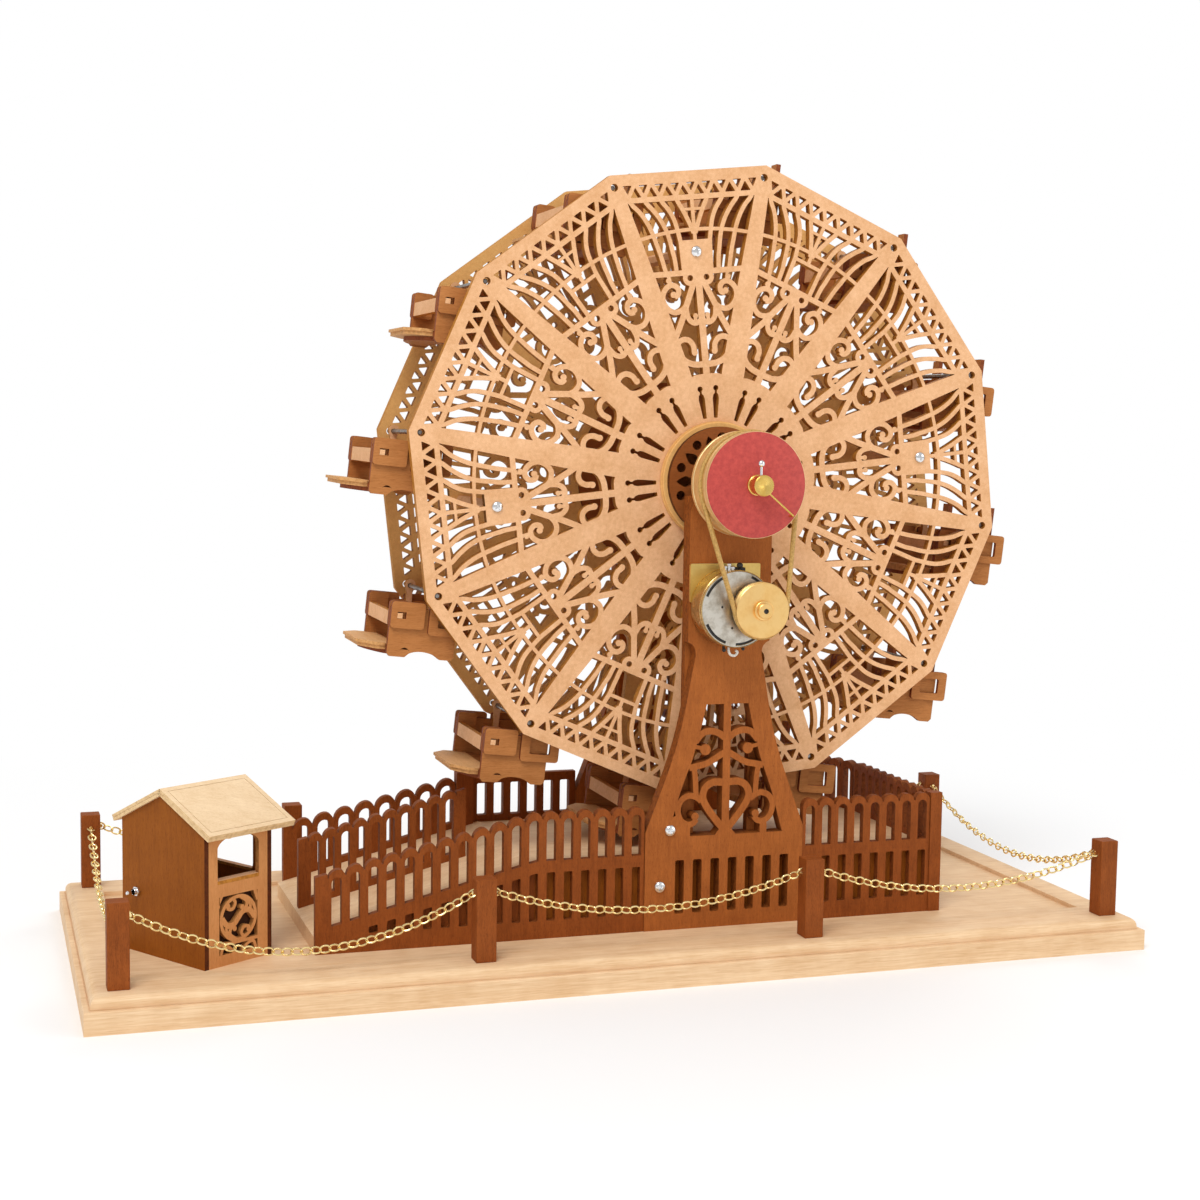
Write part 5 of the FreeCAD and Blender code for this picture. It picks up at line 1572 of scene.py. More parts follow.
@dataclass
class Gondola(Assembly):
    """One hanging seat, seen from the rod it hangs on."""

    number: int
    pivot: tuple[float, float]
    lean: float = 6.0
    side: tuple[float, float] = (34.6, 38.2)
    arm: tuple[float, float] = (38.2, 41.0)
    board: float = 3.0

    def place(self) -> Matrix:
        """Matrix from the gondola to the part."""
        x, z = self.pivot
        return Matrix.Translation((x, 0, z)) @ Matrix.Rotation(radians(self.lean), 4, "Y")

    def cheeks(self) -> Shape:
        """The side panels and the arm plates on them.

        Returns:
            Their faces, seen from the rod.
        """
        belly = smooth([(-15.0, -41.5), (-11.5, -38.6), (-5.0, -37.3), (2.5, -38.4), (8.0, -41.5)], 5)
        panel = [(-26.8, -10), (-26.8, -39.5), (-25.0, -41.5), *belly, (15.0, -41.5), (17, -39.5),
                 (17, -10)]
        lens = [*arc(-15.4, -38.6, 3.2, 180, 0, 8), (-12.6, -36.6), (-18.2, -36.6)]
        cheek = Flat([panel], [lens[::-1]])
        fore = Flat([rounded(rectangle(-27, -23, -5, -6), 2.4)], [rectangle(-23.0, -16.8, -17.2, -12.6)])
        block = Flat([rounded(rectangle(-27, -23, -14, -6), 2.4)])
        rear = Flat([rounded(rectangle(-2, -26, 24, -6), 2.4)],
                    [rounded(rectangle(4, -21, 18, -11), 1.0, 2)])
        shape = Shape()
        for inner, outer, parts in ((*self.side, (cheek,)), (*self.arm, (fore, rear)),
                                    (self.side[0] - 3.4, self.side[0], (block,))):
            for flat in parts:
                shape.board(flat, Plane((0, -outer, 0)), outer - inner)
                shape.board(flat, Plane((0, inner, 0)), outer - inner)
        return shape

    def seat(self) -> Shape:
        """Back board, bench and floor with its foot board.

        Returns:
            Their faces, seen from the rod.
        """
        half = self.side[0]
        shape = Shape()
        notch = [(-half, 13), (-half, -25), (half, -25), (half, 13), (25.6, 13), (25.6, 2.5),
                 *arc(22.6, 2.0, 3.0, 0, -90, 4), *arc(-22.6, 2.0, 3.0, -90, -180, 4), (-25.6, 13)]
        shape.board(Flat([notch]), Plane((14, 0, 0), (0, -1, 0), (0, 0, 1)), self.board)
        bench = Flat([rectangle(-4, -half, 14, half)])
        shape.board(bench, level(-22), self.board)
        floor = Flat([rectangle(-27, -half, 17, half)])
        shape.board(floor, level(-34.5), self.board)
        brace = smooth([(-38, 0.0), (-35, 14.0), (-27, half - 3), (-16, half - 1)], 4)
        shape.board(Flat([[(-16, 1 - half), *[(x, -y) for x, y in reversed(brace[1:-1])], *brace]]),
                    level(-38.0), 2.6)
        return shape

    def foot(self) -> Shape:
        """The pointed foot board in front of the floor, in two layers.

        Returns:
            Its faces, seen from the rod.
        """
        half = self.side[0]
        outline = [(-27, -half), (-27, half), (-34, half), (-44, half - 12), (-44, 12 - half), (-34, -half)]
        shape = Shape()
        shape.board(Flat([rounded(outline, 1.2, 2)]), level(-33.6), 1.8)
        shape.board(Flat([rounded([(x * 0.97, y * 0.97) for x, y in outline], 1.2, 2)]),
                    level(-35.4), 2.4)
        shape.board(Flat([rectangle(-27, -half, -19, half)]), level(-33.9), 0.55)
        return shape

    def pale(self) -> Shape:
        """Lap bar and the two hangers.

        Returns:
            Their faces, seen from the rod.
        """
        half, thick = self.side[0], self.board
        shape = Shape()
        low = 3.4 - half
        shape.board(Flat([rectangle(low, -22.0, -low, -13.2)]), Plane((-26.6, 0, 0), (0, -1, 0), (0, 0, 1)),
                    3.6)
        for way in (1.0, -1.0):
            y = self.arm[1] - 0.1
            shape.block((-22.9, min(way * (half - 1), way * y), -16.7),
                        (-19.6, max(way * (half - 1), way * y), -13.4))
        strip = Flat([[(-2.2, -22), (2.2, -22), (2.0, -5.0), *arc(0, 0.6, 3.7, -35, 215, 14),
                       (-2.0, -5.0)]], [disc(0, 0, 1.85, 12)])
        shape.board(strip, Plane((0, -half, 0)), thick)
        shape.board(strip, Plane((0, half - thick, 0)), thick)
        return shape

    def make(self) -> None:
        """Builds the gondola's three pieces."""
        name = "gondola_%02d" % self.number
        pieces = ((self.cheeks(), "_cheeks", Finish.CHERRY, "mid_ply", (name + "_frame",)),
                  (self.seat(), "_seat", Finish.CHERRY, "mid_ply", (name + "_boards",)),
                  (self.foot(), "_foot_board", Finish.HONEY, "mid_ply", ()),
                  (self.pale(), "_lap_bar", Finish.BIRCH, "tan_ply", ()))
        for shape, ending, finish, slot, nodes in pieces:
            whole = Shape()
            whole.join(shape, self.place())
            settle(whole.build(name + ending, self.palette[finish]), name, slot, *nodes)


# ---- base and barrier

@dataclass
class Base(Assembly):
    """Moulded board: a plain side, a quirk, a quarter round and a shallow panel."""

    half: Point = (345.0, 146.0)
    top: float = 21.0
    ledge: float = 13.5
    quirk: float = 0.7
    step: float = 3.9
    radius: float = 5.4
    margin: Point = (27.0, 40.0)
    lip: float = 0.4
    panel: float = 18.0

    def make(self) -> None:
        """Builds the board from level rings."""
        low, high = self.ledge - self.quirk, self.top - self.radius
        edge = [(0.0, 0.0), (0.0, self.ledge - 0.4), (0.5, self.ledge), (self.step - 0.7, self.ledge),
                (self.step - 0.7, low), (self.step, low), (self.step, high)]
        for number in range(1, 7):
            a = radians(15.0 * number)
            edge.append((self.step + self.radius * (1 - cos(a)), high + self.radius * sin(a)))
        rings = [(self.half[0] - inset, self.half[1] - inset, z) for inset, z in edge]
        for lip, z in ((0, self.top), (self.lip, self.top - self.lip), (self.lip, self.panel)):
            rings.append((self.half[0] - self.margin[0] - lip, self.half[1] - self.margin[1] - lip, z))
        board = Shape()
        board.tray(rings)
        self.put(board, "base_board_moulded", Finish.MAPLE, "pale_maple", "base_board")


@dataclass
class Barrier(Assembly):
    """Square posts on the base with chains hung between them."""

    side: float = 12.7
    foot: float = 21.0
    height: float = 51.0
    hook: float = 63.0
    edge: float = 0.5
    link: tuple[float, float, float] = (5.6, 7.8, 6.0)
    wire: float = 1.15
    twist: float = 0.62
    steps: int = 24
    corners: tuple[Point, ...] = ((-331, -132), (-114.57, -132), (101.87, -132), (318.3, -132),
                                  (-331, 119.3), (-191, 119.3), (178.3, 119.3), (318.3, 119.3))
    spans: tuple[tuple[int, int, float], ...] = ((0, 1, 28.5), (1, 2, 17.5), (2, 3, 17.5), (0, 4, 26.5),
                                                 (3, 7, 26.5), (4, 5, 13.5), (6, 7, 13.5))

    def posts(self) -> None:
        """Builds the posts with softened edges."""
        shape = Shape()
        for x, y in self.corners:
            shape.block((x, y, self.foot), (x + self.side, y + self.side, self.foot + self.height))
        posts = shape.build("chain_posts_square", self.palette[Finish.WALNUT])
        soft = posts.modifiers.new("soft_edges", "BEVEL")
        soft.width, soft.segments, soft.harden_normals = self.edge * MM, 2, False
        settle(posts, Body.STAND.value, "brown_ply", "chain_posts")

    def line(self, first: int, last: int, sag: float) -> list[Vector]:
        """Hanging line between the facing sides of two posts, in metres.

        Args:
            first: Number of one post.
            last: Number of the other post.
            sag: How far the middle hangs, in millimetres.

        Returns:
            The points of the line.
        """
        half = self.side / 2
        start = Vector((self.corners[first][0] + half, self.corners[first][1] + half, self.hook))
        end = Vector((self.corners[last][0] + half, self.corners[last][1] + half, self.hook))
        way = (end - start).normalized()
        start, end = start + way * (half + 0.4), end - way * (half + 0.4)
        points = []
        for number in range(self.steps + 1):
            share = number / self.steps
            spot = start.lerp(end, share)
            spot.z -= 4 * sag * share * (1 - share)
            points.append(spot * MM)
        return points

    def chains(self) -> None:
        """Hangs the chains by a node tree and adds the eyes that hold them."""
        eyes = Shape()
        spots: list[Vector] = []
        edges: list[tuple[int, int]] = []
        for span in self.spans:
            points = self.line(*span)
            edges += [(len(spots) + n, len(spots) + n + 1) for n in range(len(points) - 1)]
            spots += points
            for end in (points[0], points[-1]):
                x, y, z = end / MM
                eyes.lathe([(0, -1.0), (1.3, -0.9), (1.6, 0), (1.3, 0.9), (0, 1.0)], (x, y, z), 12)
        mesh = bpy.data.meshes.new("chain_lines")
        mesh.from_pydata(spots, edges, [])
        base = placed("chain_lines", mesh)
        pitch, length, width = self.link
        made = chain_pattern().apply(base, "barrier_chain_links", {
            "Pitch": pitch * MM, "Length": length * MM, "Width": width * MM, "Wire": self.wire * MM,
            "Twist": self.twist, "Finish": self.palette[Finish.CHAIN]})
        settle(made, Body.STAND.value, "brass_chain", "barrier_chain")
        self.put(eyes, "chain_eyes", Finish.CHAIN, "brass_chain")

    def make(self) -> None:
        """Builds the barrier."""
        self.posts()
        self.chains()


# ---- platform and fences

@dataclass
class Fence:
    """One picket board with arched tops and two rows of openings."""

    name: str
    node: str
    plane: Plane
    start: float
    end: float
    pickets: int
    thick: float = 6.0
    front: float = 0.0
    left_stile: float = 0.0
    right_stile: float = 0.0
    top: Callable[[float], float] = lambda x: 100.0
    walk: Callable[[float], float] = lambda x: 64.0
    foot: Callable[[float], float] = lambda x: 18.0
    lower: float = 29.5
    share: float = 0.55
    rail: float = 4.5

    def flat(self) -> Flat:
        """Outline with its arches and slots.

        Returns:
            The board, seen from its face.
        """
        first, last = self.start + self.left_stile, self.end - self.right_stile
        pitch = (last - first) / self.pickets
        half, slot = pitch / 2, pitch * self.share / 2
        crown: Loop = []
        cuts: list[Loop] = []
        if self.right_stile:
            crown += [(self.end, self.top(self.end) - 1.0), (last, self.top(last) - 1.0)]
        for number in reversed(range(self.pickets)):
            middle = first + pitch * (number + 0.5)
            lift = self.top(middle)
            bow = [(x, lift - half * 0.9 + (y - lift) + self.top(x) - lift)
                   for x, y in arc(middle, lift, half * 0.94, 8, 172, 9)]
            crown += bow
            high, low = lift - self.rail, self.walk(middle) + self.rail
            arch = [(x, y + self.top(x) - lift) for x, y in arc(middle, high - slot, slot, 0, 180, 7)]
            sill = [(middle - slot, low + self.walk(middle - slot) - self.walk(middle)),
                    (middle + slot, low + self.walk(middle + slot) - self.walk(middle))]
            cuts.append([*sill, *arch])
            under, near = self.walk(middle) - 3.0, slot * 0.9
            if self.lower and under - self.lower > 3.0:
                tops = [(middle + side, under + self.walk(middle + side) - self.walk(middle))
                        for side in (near, -near)]
                cuts.append(rounded([(middle - near, self.lower), (middle + near, self.lower), *tops],
                                    1.0, 3))
        if self.left_stile:
            crown += [(first, self.top(first) - 1.0), (self.start, self.top(self.start) - 1.0)]
        sole = [(x, self.foot(x)) for x in (self.start, self.end)]
        return Flat([[*sole, *crown]], cuts)


@dataclass
class Platform(Assembly):
    """Ramp, deck and the fences round them."""

    left: float = -203.0
    ramp_top: float = -61.0
    half: float = 79.0
    veneer: float = 0.25

    def walk(self, x: float) -> float:
        """Height of the walkway at a place along the base."""
        return 28.0 + 36.0 * min(max((x - self.left) / (self.ramp_top - self.left), 0.0), 1.0)

    def top(self, x: float) -> float:
        """Height of the fence at a place along the base."""
        return 67.5 + 32.5 * min(max((x - self.left) / (self.ramp_top - self.left), 0.0), 1.0)

    def middle_top(self, x: float) -> float:
        """Height of the middle fence, a little over the outer ones."""
        return self.top(x) + 6.6 + 0.03 * (x - self.left)

    def fences(self) -> Iterable[tuple[Fence, ...]]:
        """Every fence, grouped by the solid that it stands for.

        Returns:
            The groups, one after the other.
        """
        front = Plane((0, -self.half, 0))
        rear = Plane((0, self.half, 0), (-1, 0, 0))
        way = Vector((-14.0, 37.0, 0)).normalized()
        out = Vector((way.y, -way.x, 0))
        bend = Vector((217.5, 42.0, 0)) + out * 6.0
        run = hypot(14.0, 37.0)
        yield (Fence("fence_front_left_arched", "fence_front_left", front, -203, 11.5, 18, 5.2, 0.8, 7.5,
                     top=self.top, walk=self.walk),)
        yield (Fence("fence_front_right_arched", "fence_front_right", front, 122.5, 217.5, 8, 5.2, 0.8),)
        yield (Fence("fence_middle_arched", "fence_middle", Plane((0, -3.0, 0)), -201, -89, 10, 6.0, 0.0,
                     6.0, 6.0, top=self.middle_top, walk=self.walk, foot=self.walk, lower=0.0),)
        yield (Fence("fence_rear_arched", "fence_rear", rear, 77, 199, 8, 5.4, 0.6, 0.0, 6.0,
                     top=lambda x: self.top(-x), walk=lambda x: self.walk(-x)),)
        yield (Fence("fence_right_arched", "fence_right_end", Plane((223.5, 0, 0), (0, 1, 0)), -70.5, 42,
                     10),
               Fence("fence_bend_arched", "fence_right_end", Plane(tuple(bend), tuple(way)), 0.6, run, 3))

    def rails(self) -> Shape:
        """The low rail fence behind the ride and the gate post beside it.

        Returns:
            Their faces.
        """
        places = [SLOT_PITCH * number for number in range(6)]
        slots = [rounded(rectangle(x - 7.0, 68, x, 91), 1.0, 2) for x in places]
        low = Flat([rectangle(-11.5, 18, 65, 97)], slots)
        shape = Shape()
        shape.board(low, Plane((0, self.half, 0), (-1, 0, 0)), 6.0)
        shape.block((-77, self.half - 9, 18), (-65, self.half, 100))
        return shape

    def make(self) -> None:
        """Builds the fences and the thin boards on both sides of the ramp."""
        for group in self.fences():
            shape = Shape()
            for fence in group:
                shape.board(fence.flat(), fence.plane, fence.thick, fence.front)
            if group[0].node == "fence_rear":
                shape.join(self.rails())
            if group[0].node == "fence_front_right":
                shape.block((217.5, -self.half, 18), (226, -70.5, 100))
            self.put(shape, group[0].name, Finish.WALNUT, "brown_ply", group[0].node)
        veneer = Shape()
        for y in (-73.25, 73.0):
            face = Flat([[(self.left + 1, 18.2), (self.ramp_top, 18.2), (self.ramp_top, 63.5),
                          (self.left + 1, 27.8)]])
            veneer.board(face, Plane((0, y, 0)), self.veneer)
        self.put(veneer, "ramp_side_veneer", Finish.WALNUT, "dark_ply")


# ---- towers

@dataclass
class Tower(Assembly):
    """Fretwork panel and the plain upright behind it."""

    side: str
    face: float
    x: float = 67.0
    floor: float = 18.0
    half: float = 55.5
    plinth: float = 83.0
    waist: tuple[float, float] = (23.0, 198.0)
    block: float = 28.5
    shoulder: float = 292.0
    axle: float = 310.0
    head: float = 21.0
    panel: float = 9.5
    upright: float = 6.0
    upright_half: float = 27.0
    opening: tuple[float, float, float] = (19.0, 79.0, 178.0)
    backing: float = 0.3

    def outline(self) -> Loop:
        """Outer edge of the panel.

        Returns:
            The edge, seen from the panel's face.
        """
        low, high = (self.half, self.plinth), self.waist
        middle = ((low[0] + high[0]) / 2 - 4.5, (low[1] + high[1]) / 2)
        flare = smooth([low, middle, high], 10)
        notch = smooth([high, (23.6, 202.5), (25.6, 205.4), (self.block, 207.0)], 4)
        side = [(self.half, self.floor), *flare, *notch[1:], (self.block, self.shoulder)]
        crown = arc(0, self.axle, self.head, 0, 180, 24)
        return [*side, *crown, *mirrored(side)]

    def scrolls(self) -> tuple[list[Loop], list[Loop]]:
        """Window of the panel and the fretwork bands that cross it.

        Returns:
            The window and the bands.
        """
        side = smooth([(40.6, 79.5), (36.9, 91.8), (32.3, 107.5), (27.2, 121.4), (23.9, 130.0),
                       (20.6, 142.0), (18.0, 151.5), (14.6, 166.0)], 3)
        window = [*side, *mirrored(side)]
        one = [ribbon([(0.5, 134.6), (6.0, 131.4), (13.0, 127.4), (18.5, 126.0), (26.0, 124.6)], 4.2),
               ribbon([(1.2, 143.6), (6.0, 147.0), (11.6, 148.4), (17.2, 147.0), (22.0, 141.6)], 4.4),
               disc(14.9, 136.3, 3.7, 18), ribbon([(14.9, 136.3), (18.6, 137.6), (22.6, 138.4)], 2.6),
               ribbon([(22.9, 126.0), (21.6, 117.5), (20.8, 106.0)], 3.6),
               ribbon([(-1, 114.2), (4, 114.4), (9.2, 114.4), (14.2, 111.4), (16.2, 105.4), (13.2, 98.2),
                       (6.2, 89.0), (-1.0, 80.6)], 4.8),
               ribbon([(17.2, 102.4), (20.4, 104.9), (25.2, 106.3), (30.6, 104.0), (33.3, 98.0),
                       (31.8, 91.2), (27.6, 87.6), (23.0, 87.7), (20.2, 90.6)], 3.9),
               disc(21.3, 92.4, 2.6, 14)]
        bands = one + [mirrored(loop) for loop in one]
        bands += [rectangle(-2.6, 78.6, 2.6, 167), [(-8, 78.6), (8, 78.6), (0, 88.5)],
                  rectangle(24.6, 78.6, 29.4, 88.5), rectangle(-29.4, 78.6, -24.6, 88.5)]
        if self.side == "front":
            bands.append([(-42, 78.5), (-26, 78.5), (-26, 86.5), (-34.5, 93.5), (-38.6, 92)])
        return [window], bands

    def make(self) -> None:
        """Builds the tower's panel, upright and screws."""
        facing = -1.0 if self.side == "front" else 1.0
        plane = Plane((self.x, self.face * facing, 0), (-facing, 0, 0))
        window, bands = self.scrolls()
        slots = [rounded(rectangle(-34.5 + SLOT_PITCH * n, 28.5, -28.3 + SLOT_PITCH * n, 64.0), 1.3, 3)
                 for n in range(7)]
        bore = disc(0, self.axle, 3.06, 20)
        shape = Shape()
        shape.board(Flat([self.outline()], [*window, *slots, bore]), plane, self.panel)
        shape.board(Flat(bands), plane, self.panel - 0.1, 0.05)
        wide, (half, low, high) = self.upright_half, self.opening
        back = Flat([rectangle(-wide, 64, wide, 301)], [rectangle(-half, low, half, high), bore])
        shape.board(back, plane, self.upright, self.panel)
        name = self.side + "_tower"
        self.put(shape, name + "_fretwork", Finish.TOWER, "brown_ply", name)
        backing = Shape()
        backing.board(Flat([rectangle(-39, 26, 50, 64)]), plane, self.backing, self.panel)
        self.put(backing, name + "_slot_backing", Finish.SAPELE, "dark_ply")
        turn = 0.0 if facing < 0 else 180.0
        y = self.face * facing
        places = [((self.x - 38.5, y, 84.0), turn), ((self.x - 45.0, y, 47.0), turn)]
        if self.side == "rear":
            places += [((self.x + 38.5, y, 84.0), turn), ((self.x + 45.0, y, 47.0), turn)]
        made = set_screws(name + "_screws", self.palette, 4.0, 2.4, places)
        settle(made, Body.STAND.value, "switch_metal")


# ---- booth

@dataclass
class Booth(Assembly):
    """Ticket booth with a two layer gable roof and the toggle switch."""

    corner: tuple[float, float, float] = (-272.0, -95.0, 18.0)
    turn: float = 32.5
    wide: float = 52.0
    deep: float = 79.0
    wall: float = 3.2
    eave: float = 82.0
    ridge: float = 101.0
    sill: float = 50.5
    roof: float = 4.0
    overhang: float = 7.5
    roof_ends: tuple[float, float] = (-2.0, 65.0)
    border: float = 3.6
    far_window: tuple[float, float] = (13.5, 65.5)
    switch: tuple[float, float] = (64.0, 38.0)
    panel: tuple[float, float, float, float] = (14.9, 6.8, 42.6, 27.6)
    # backing: thickness of the near-black sheet of painted shade behind the scroll panel.
    backing: float = 0.6
    counter: float = 2.4
    groove: float = 0.35

    def spot(self, x: float, y: float, z: float = 0.0) -> tuple[float, float, float]:
        """Point of the part for a point of the booth.

        Args:
            x: Place along the window walls.
            y: Place along the gable walls.
            z: Height over the panel.

        Returns:
            The point.
        """
        across, deep = polar(1.0, self.turn)
        cx, cy, cz = self.corner
        return (cx + x * across - y * deep, cy + x * deep + y * across, cz + z)

    def way(self, x: float, y: float, z: float = 0.0) -> tuple[float, float, float]:
        """Direction in the part for a direction of the booth.

        Args:
            x: Share along the window walls.
            y: Share along the gable walls.
            z: Share upwards.

        Returns:
            The direction.
        """
        across, deep = polar(1.0, self.turn)
        return (x * across - y * deep, x * deep + y * across, z)

    def window_wall(self) -> tuple[list[Loop], Flat]:
        """Openings of the window and the scroll panel, and that panel's fretwork.

        Returns:
            The openings and the fretwork.
        """
        left, right = 10.0, self.wide - 10.0
        middle = self.wide / 2
        bow = smooth([(16.0, 70.5), (15.6, 73.4), (12.8, 76.2), (7.4, 78.4), (0.0, 79.4)], 4)
        opening = [(left, self.sill), (right, self.sill), *[(middle + x, y) for x, y in bow],
                   *[(middle - x, y) for x, y in reversed(bow[:-1])]]
        half, low, top, centre = self.panel
        panel = rectangle(middle - half, low, middle + half, top)
        bands = [ribbon(arc(0, 0, 13.4, 0, 360, 36), 2.2, 0),
                 rectangle(-half - 0.3, -15.6, half + 0.3, -13.6)]
        for turn in (0.0, 180.0):
            one = [ribbon([(0, 0), (3.6, 3.4), (8.6, 3.4), (12.6, -1.6)], 3.4),
                   ribbon([(2.0, 12.8), (6.4, 9.4), (6.0, 5.8), (3.4, 4.6)], 2.3),
                   ribbon([(-4.2, 12.6), (-2.4, 9.6), (-4.2, 6.4), (-7.6, 6.6), (-8.8, 9.2)], 2.1),
                   disc(-7.9, 8.4, 1.6, 12), disc(2.9, 6.2, 1.6, 12),
                   ribbon([(9.2, 3.0), (9.4, 6.0), (7.8, 9.4)], 1.9)]
            bands += [turned(loop, turn) for loop in one]
        for side in (-1.0, 1.0):
            bands.append([(side * 13.0 - 1.4, 15.4), (side * 13.0 + 1.4, 15.4), (side * 15.2, 9.0),
                          (side * 14.2, 8.0)])
            bands.append(ribbon([(side * 3.0, -21.2), (side * 7.0, -17.2), (side * 11.6, -16.4),
                                 (side * 13.6, -20.8)], 1.9))
        bands = [[(min(max(x, -half - 0.4), half + 0.4),
                   min(max(y, low - centre - 0.4), top - centre + 0.4)) for x, y in loop] for loop in bands]
        return [opening, panel], Flat([moved(loop, middle, centre) for loop in bands])

    def walls(self) -> None:
        """Builds the gable walls, the window walls, a near-black sheet of painted shade behind the scroll
        panel, and the counters.
        """
        gables, fronts, dark, sills = Shape(), Shape(), Shape(), Shape()
        gable = [(0, 0), (self.deep, 0), (self.deep, self.eave), (self.deep / 2, self.ridge),
                 (0, self.eave)]
        hole = disc(self.deep - self.switch[0], self.switch[1], 1.9, 12)
        near, far = self.far_window
        view = rounded([(near, self.sill), (far, self.sill), (far, self.eave - 5), (near, self.eave - 5)],
                       5.0)
        gables.board(Flat([gable], [hole]), Plane(self.spot(0, self.deep), self.way(0, -1)), self.wall)
        gables.board(Flat([gable], [view]), Plane(self.spot(self.wide, 0), self.way(0, 1)), self.wall)
        openings, lattice = self.window_wall()
        middle = self.wide / 2
        wall = Flat([rectangle(self.wall, 0, self.wide - self.wall, self.eave - 0.5)], openings)
        # Painted shade: a near-black sheet behind the scroll panel, so its openings read as the dark inside
        # of the booth.
        behind = Flat([rectangle(middle - 16.5, 5.0, middle + 16.5, 44.4)])
        counter = Flat([rectangle(self.wall + 0.1, 0, self.wide - self.wall - 0.1, 6.4)])
        for x, y, way in ((0.0, 0.0, 1.0), (self.wide, self.deep, -1.0)):
            plane = Plane(self.spot(x, y), self.way(way, 0))
            fronts.board(wall, plane, self.wall)
            fronts.board(lattice, plane, self.wall - 0.1, 0.05)
            dark.board(behind, plane, self.backing, self.wall - 0.02)
            above = Plane(self.spot(x, y + way * 0.2, self.sill + 2.2), self.way(way, 0), self.way(0, way))
            sills.board(counter, above, self.counter)
        above = Plane(self.spot(self.wide - self.wall - 1.0, 0, self.sill + 1.9), self.way(0, 1),
                      self.way(-1, 0))
        sills.board(Flat([rectangle(near, -3.6, far, 0.4)]), above, 1.8)
        self.put(gables, "booth_gable_walls", Finish.SAPELE, "brown_ply", "booth_walls")
        self.put(fronts, "booth_window_walls", Finish.CEDAR, "mid_ply")
        self.put(dark, "booth_scroll_backing", Finish.SHADE, "dark_ply")
        self.put(sills, "booth_sills", Finish.BIRCH, "tan_ply", "booth_counters")

    def slabs(self) -> None:
        """Builds both roof slabs from two layers, the upper one with its groove."""
        rise = atan2(self.ridge - self.eave, self.deep / 2)
        length = (self.deep / 2 + self.overhang) / cos(rise)
        first, last = self.roof_ends
        high = self.ridge + self.roof / cos(rise)
        shape = Shape()
        for way in (1.0, -1.0):
            start = first if way > 0 else last
            right = self.way(way, 0)
            up = self.way(0, way * cos(rise), sin(rise))
            plane = Plane(self.spot(start, self.deep / 2, high), right, up)
            run = last - first
            outer = rectangle(0, -length, run, 0)
            gap, b = self.groove, self.border
            shape.board(Flat([outer], [rectangle(b, b - length, run - b, -b)]), plane, 1.85)
            shape.board(Flat([rectangle(b + gap, b + gap - length, run - b - gap, -b - gap)]), plane, 1.85)
            shape.board(Flat([rectangle(0.4, 0.4 - length, run - 0.4, 0)]), plane, 0.5, 1.7)
            shape.board(Flat([outer]), plane, 1.95, 2.05)
        self.put(shape, "booth_roof_slabs", Finish.ROOF, "pale_maple", "booth_roof")

    def toggle(self) -> None:
        """Builds the switch behind its wall, its nut and its lever."""
        along, up = self.switch
        turn = (Matrix.Rotation(radians(self.turn), 3, "Z")
                @ Matrix.Rotation(radians(-90), 3, "Z"))
        seat = self.spot(0, along, up)
        body = Shape()
        body.lathe([(2.0, -1.9), (2.9, -1.9), (3.2, -1.6), (3.2, -0.2), (2.9, 0.0), (2.0, 0.0)], seat, 6,
                   turn)
        body.lathe([(1.95, -3.4), (2.1, -3.2), (2.1, -1.6), (1.8, -1.2), (1.8, 3.0), (1.5, 3.0),
                    (1.5, -0.6), (1.95, -3.4)], seat, 20, turn)
        box = Shape()
        box.block((3.4, -6.0, -4.0), (14.0, 6.0, 4.0))
        body.join(box, Matrix.Translation(seat) @ Matrix.Rotation(radians(self.turn), 4, "Z"))
        self.put(body, "switch_body_turned", Finish.CHROME, "switch_metal", "switch_body")
        lever = Shape()
        lever.lathe([(0, -8.5), (0.9, -8.3), (1.35, -7.5), (1.4, -6.7), (1.0, -5.2), (0.6, -3.9),
                     (0.6, 0.4), (0.8, 1.0), (0.8, 1.5), (0, 1.5)], seat, 18, turn)
        self.put(lever, "switch_lever_turned", Finish.CHROME, "switch_metal", "switch_lever",
                 body=Body.SWITCH_LEVER)

    def make(self) -> None:
        """Builds the booth."""
        self.walls()
        self.slabs()
        self.toggle()


# ---- studio

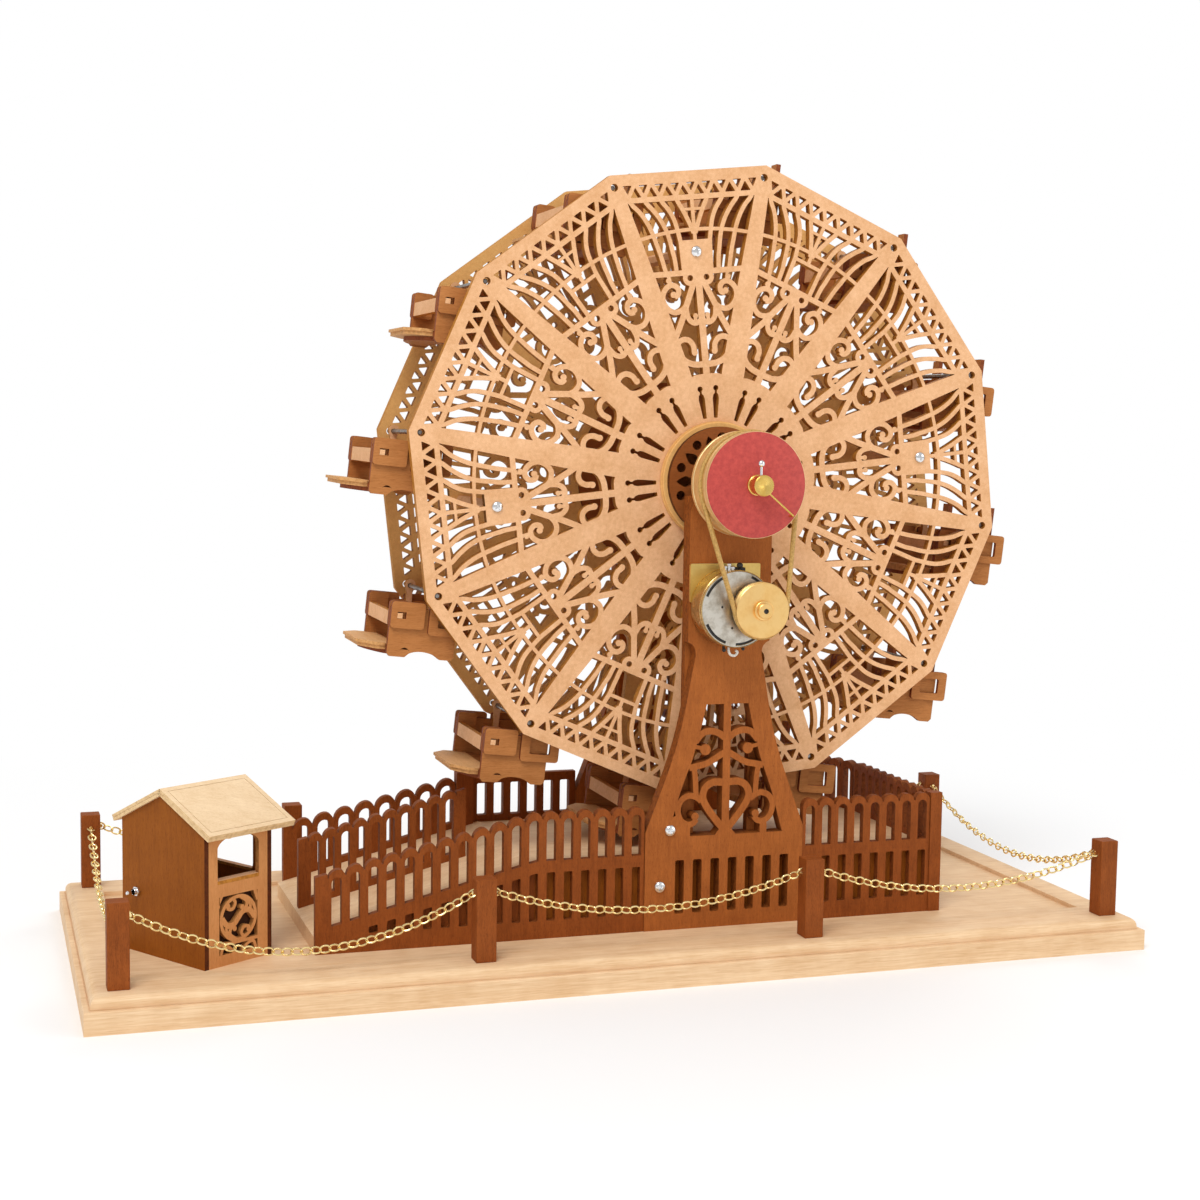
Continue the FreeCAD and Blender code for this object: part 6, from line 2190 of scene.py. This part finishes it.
@dataclass(frozen=True)
class Studio:
    """Camera, lamps, background and floor."""

    eye: tuple[float, float, float] = (-0.4026, -1.234, 0.3486)
    tilt: tuple[float, float, float] = (0.09443, -0.3175, 0.0)
    lens: float = 57.72
    floor: float = 6.0

    def camera(self) -> None:
        """Makes the camera and points it at the model."""
        axis = Vector(self.tilt)
        turn = Matrix.Rotation(axis.length, 3, axis.normalized())
        look = turn @ Matrix(((1, 0, 0), (0, 0, -1), (0, 1, 0)))
        frame = Matrix((look[0], -look[1], -look[2])).transposed().to_4x4()
        data = bpy.data.cameras.new("camera")
        data.lens, data.sensor_width, data.sensor_fit = self.lens, 36.0, "HORIZONTAL"
        data.clip_start, data.clip_end = 0.05, 50.0
        thing = placed("camera", data)
        thing.matrix_world = Matrix.Translation(self.eye) @ frame
        bpy.context.scene.camera = thing

    def lamp(self, name: str, place: Sequence[float], size: float, power: float,
             aim: Sequence[float]) -> None:
        """Adds one soft square lamp.

        Args:
            name: Name of the lamp.
            place: Where it stands.
            size: Length of its side.
            power: Power in watts.
            aim: Point that it faces.
        """
        data = bpy.data.lights.new(name, "AREA")
        data.energy, data.size, data.shape = power, size, "SQUARE"
        thing = placed(name, data)
        thing.location = place
        thing.rotation_euler = (Vector(place) - Vector(aim)).to_track_quat("Z", "Y").to_euler()

    def lights(self) -> None:
        """Adds the lamps and the white surroundings."""
        middle = (0.0, 0.0, 0.22)
        self.lamp("key", (-0.9, -1.3, 2.1), 1.0, 29.0, middle)
        self.lamp("fill", (1.9, -1.3, 0.9), 1.4, 9.0, middle)
        self.lamp("rim", (0.9, 1.5, 1.9), 1.2, 12.0, middle)
        world = bpy.data.worlds.new("surroundings")
        world.use_nodes = True
        bpy.context.scene.world = world
        graph = Graph(world.node_tree)
        seen = graph.add("ShaderNodeLightPath").outputs["Is Camera Ray"]
        back = world.node_tree.nodes["Background"]
        back.inputs["Color"].default_value = (1, 1, 1, 1)
        graph.link(graph.ramp(seen, 0.0, 1.0, 0.68, 1.0), back.inputs["Strength"])

    def ground(self) -> None:
        """Lays the pale floor, which fades to plain white away from the model."""
        half = self.floor / 2
        mesh = bpy.data.meshes.new("floor")
        mesh.from_pydata([(-half, -half, 0), (half, -half, 0), (half, half, 0), (-half, half, 0)], [],
                         [(0, 1, 2, 3)])
        thing = placed("floor", mesh)
        material, graph, shader, place = new_material("pale_floor")
        shader.inputs["Base Color"].default_value = (0.93, 0.93, 0.93, 1)
        shader.inputs["Roughness"].default_value = 0.9
        shader.inputs["Specular IOR Level"].default_value = 0.0
        far = graph.add("ShaderNodeVectorMath", {"operation": "LENGTH"}, {0: place}).outputs["Value"]
        seen = graph.add("ShaderNodeLightPath").outputs["Is Camera Ray"]
        share = graph.maths("MULTIPLY", graph.ramp(far, 0.42, 0.85), seen)
        glow = graph.add("ShaderNodeEmission", {}, {"Color": (1, 1, 1, 1), "Strength": 1.0})
        both = graph.add("ShaderNodeMixShader", {}, {0: share, 1: shader.outputs[0], 2: glow.outputs[0]})
        out = material.node_tree.nodes["Material Output"]
        graph.link(both.outputs[0], out.inputs["Surface"])
        mesh.materials.append(material)

    def make(self) -> None:
        """Sets up the whole studio."""
        scene = bpy.context.scene
        scene.view_settings.view_transform = "Standard"
        self.camera()
        self.lights()
        self.ground()


def dress(frame: dict, node: str, material: Material) -> None:
    """Gives a carried-over solid its finish.

    Args:
        node: Name of the solid.
        material: Its finish.
    """
    thing = frame["nodes"][node]
    for slot in thing.material_slots:
        slot.link = "OBJECT"
        slot.material = material
    LOG.info("%s is dressed in %s", node, material.name)


def main() -> None:
    """Builds the whole model in order."""
    logging.basicConfig(level=logging.INFO, format="%(name)s: %(message)s")
    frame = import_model()
    palette = Palette()
    Studio().make()
    dressed = {"deck": Finish.MAPLE, "entry_ramp": Finish.MAPLE,
               "fence_backing": Finish.SAPELE, "tie_spacers": Finish.BIRCH}
    Base(palette).make()
    for node, finish in dressed.items():
        dress(frame, node, palette[finish])
    Barrier(palette).make()
    Platform(palette).make()
    for side in ("front", "rear"):
        Tower(palette, side, 79.0).make()
    wheel = Wheel(palette)
    wheel.make()
    Drive(palette).make()
    for number in range(1, SIDES + 1):
        Gondola(palette, number, wheel.pivot_point(number)).make()
    Booth(palette).make()


if __name__ == "__main__":
    main()
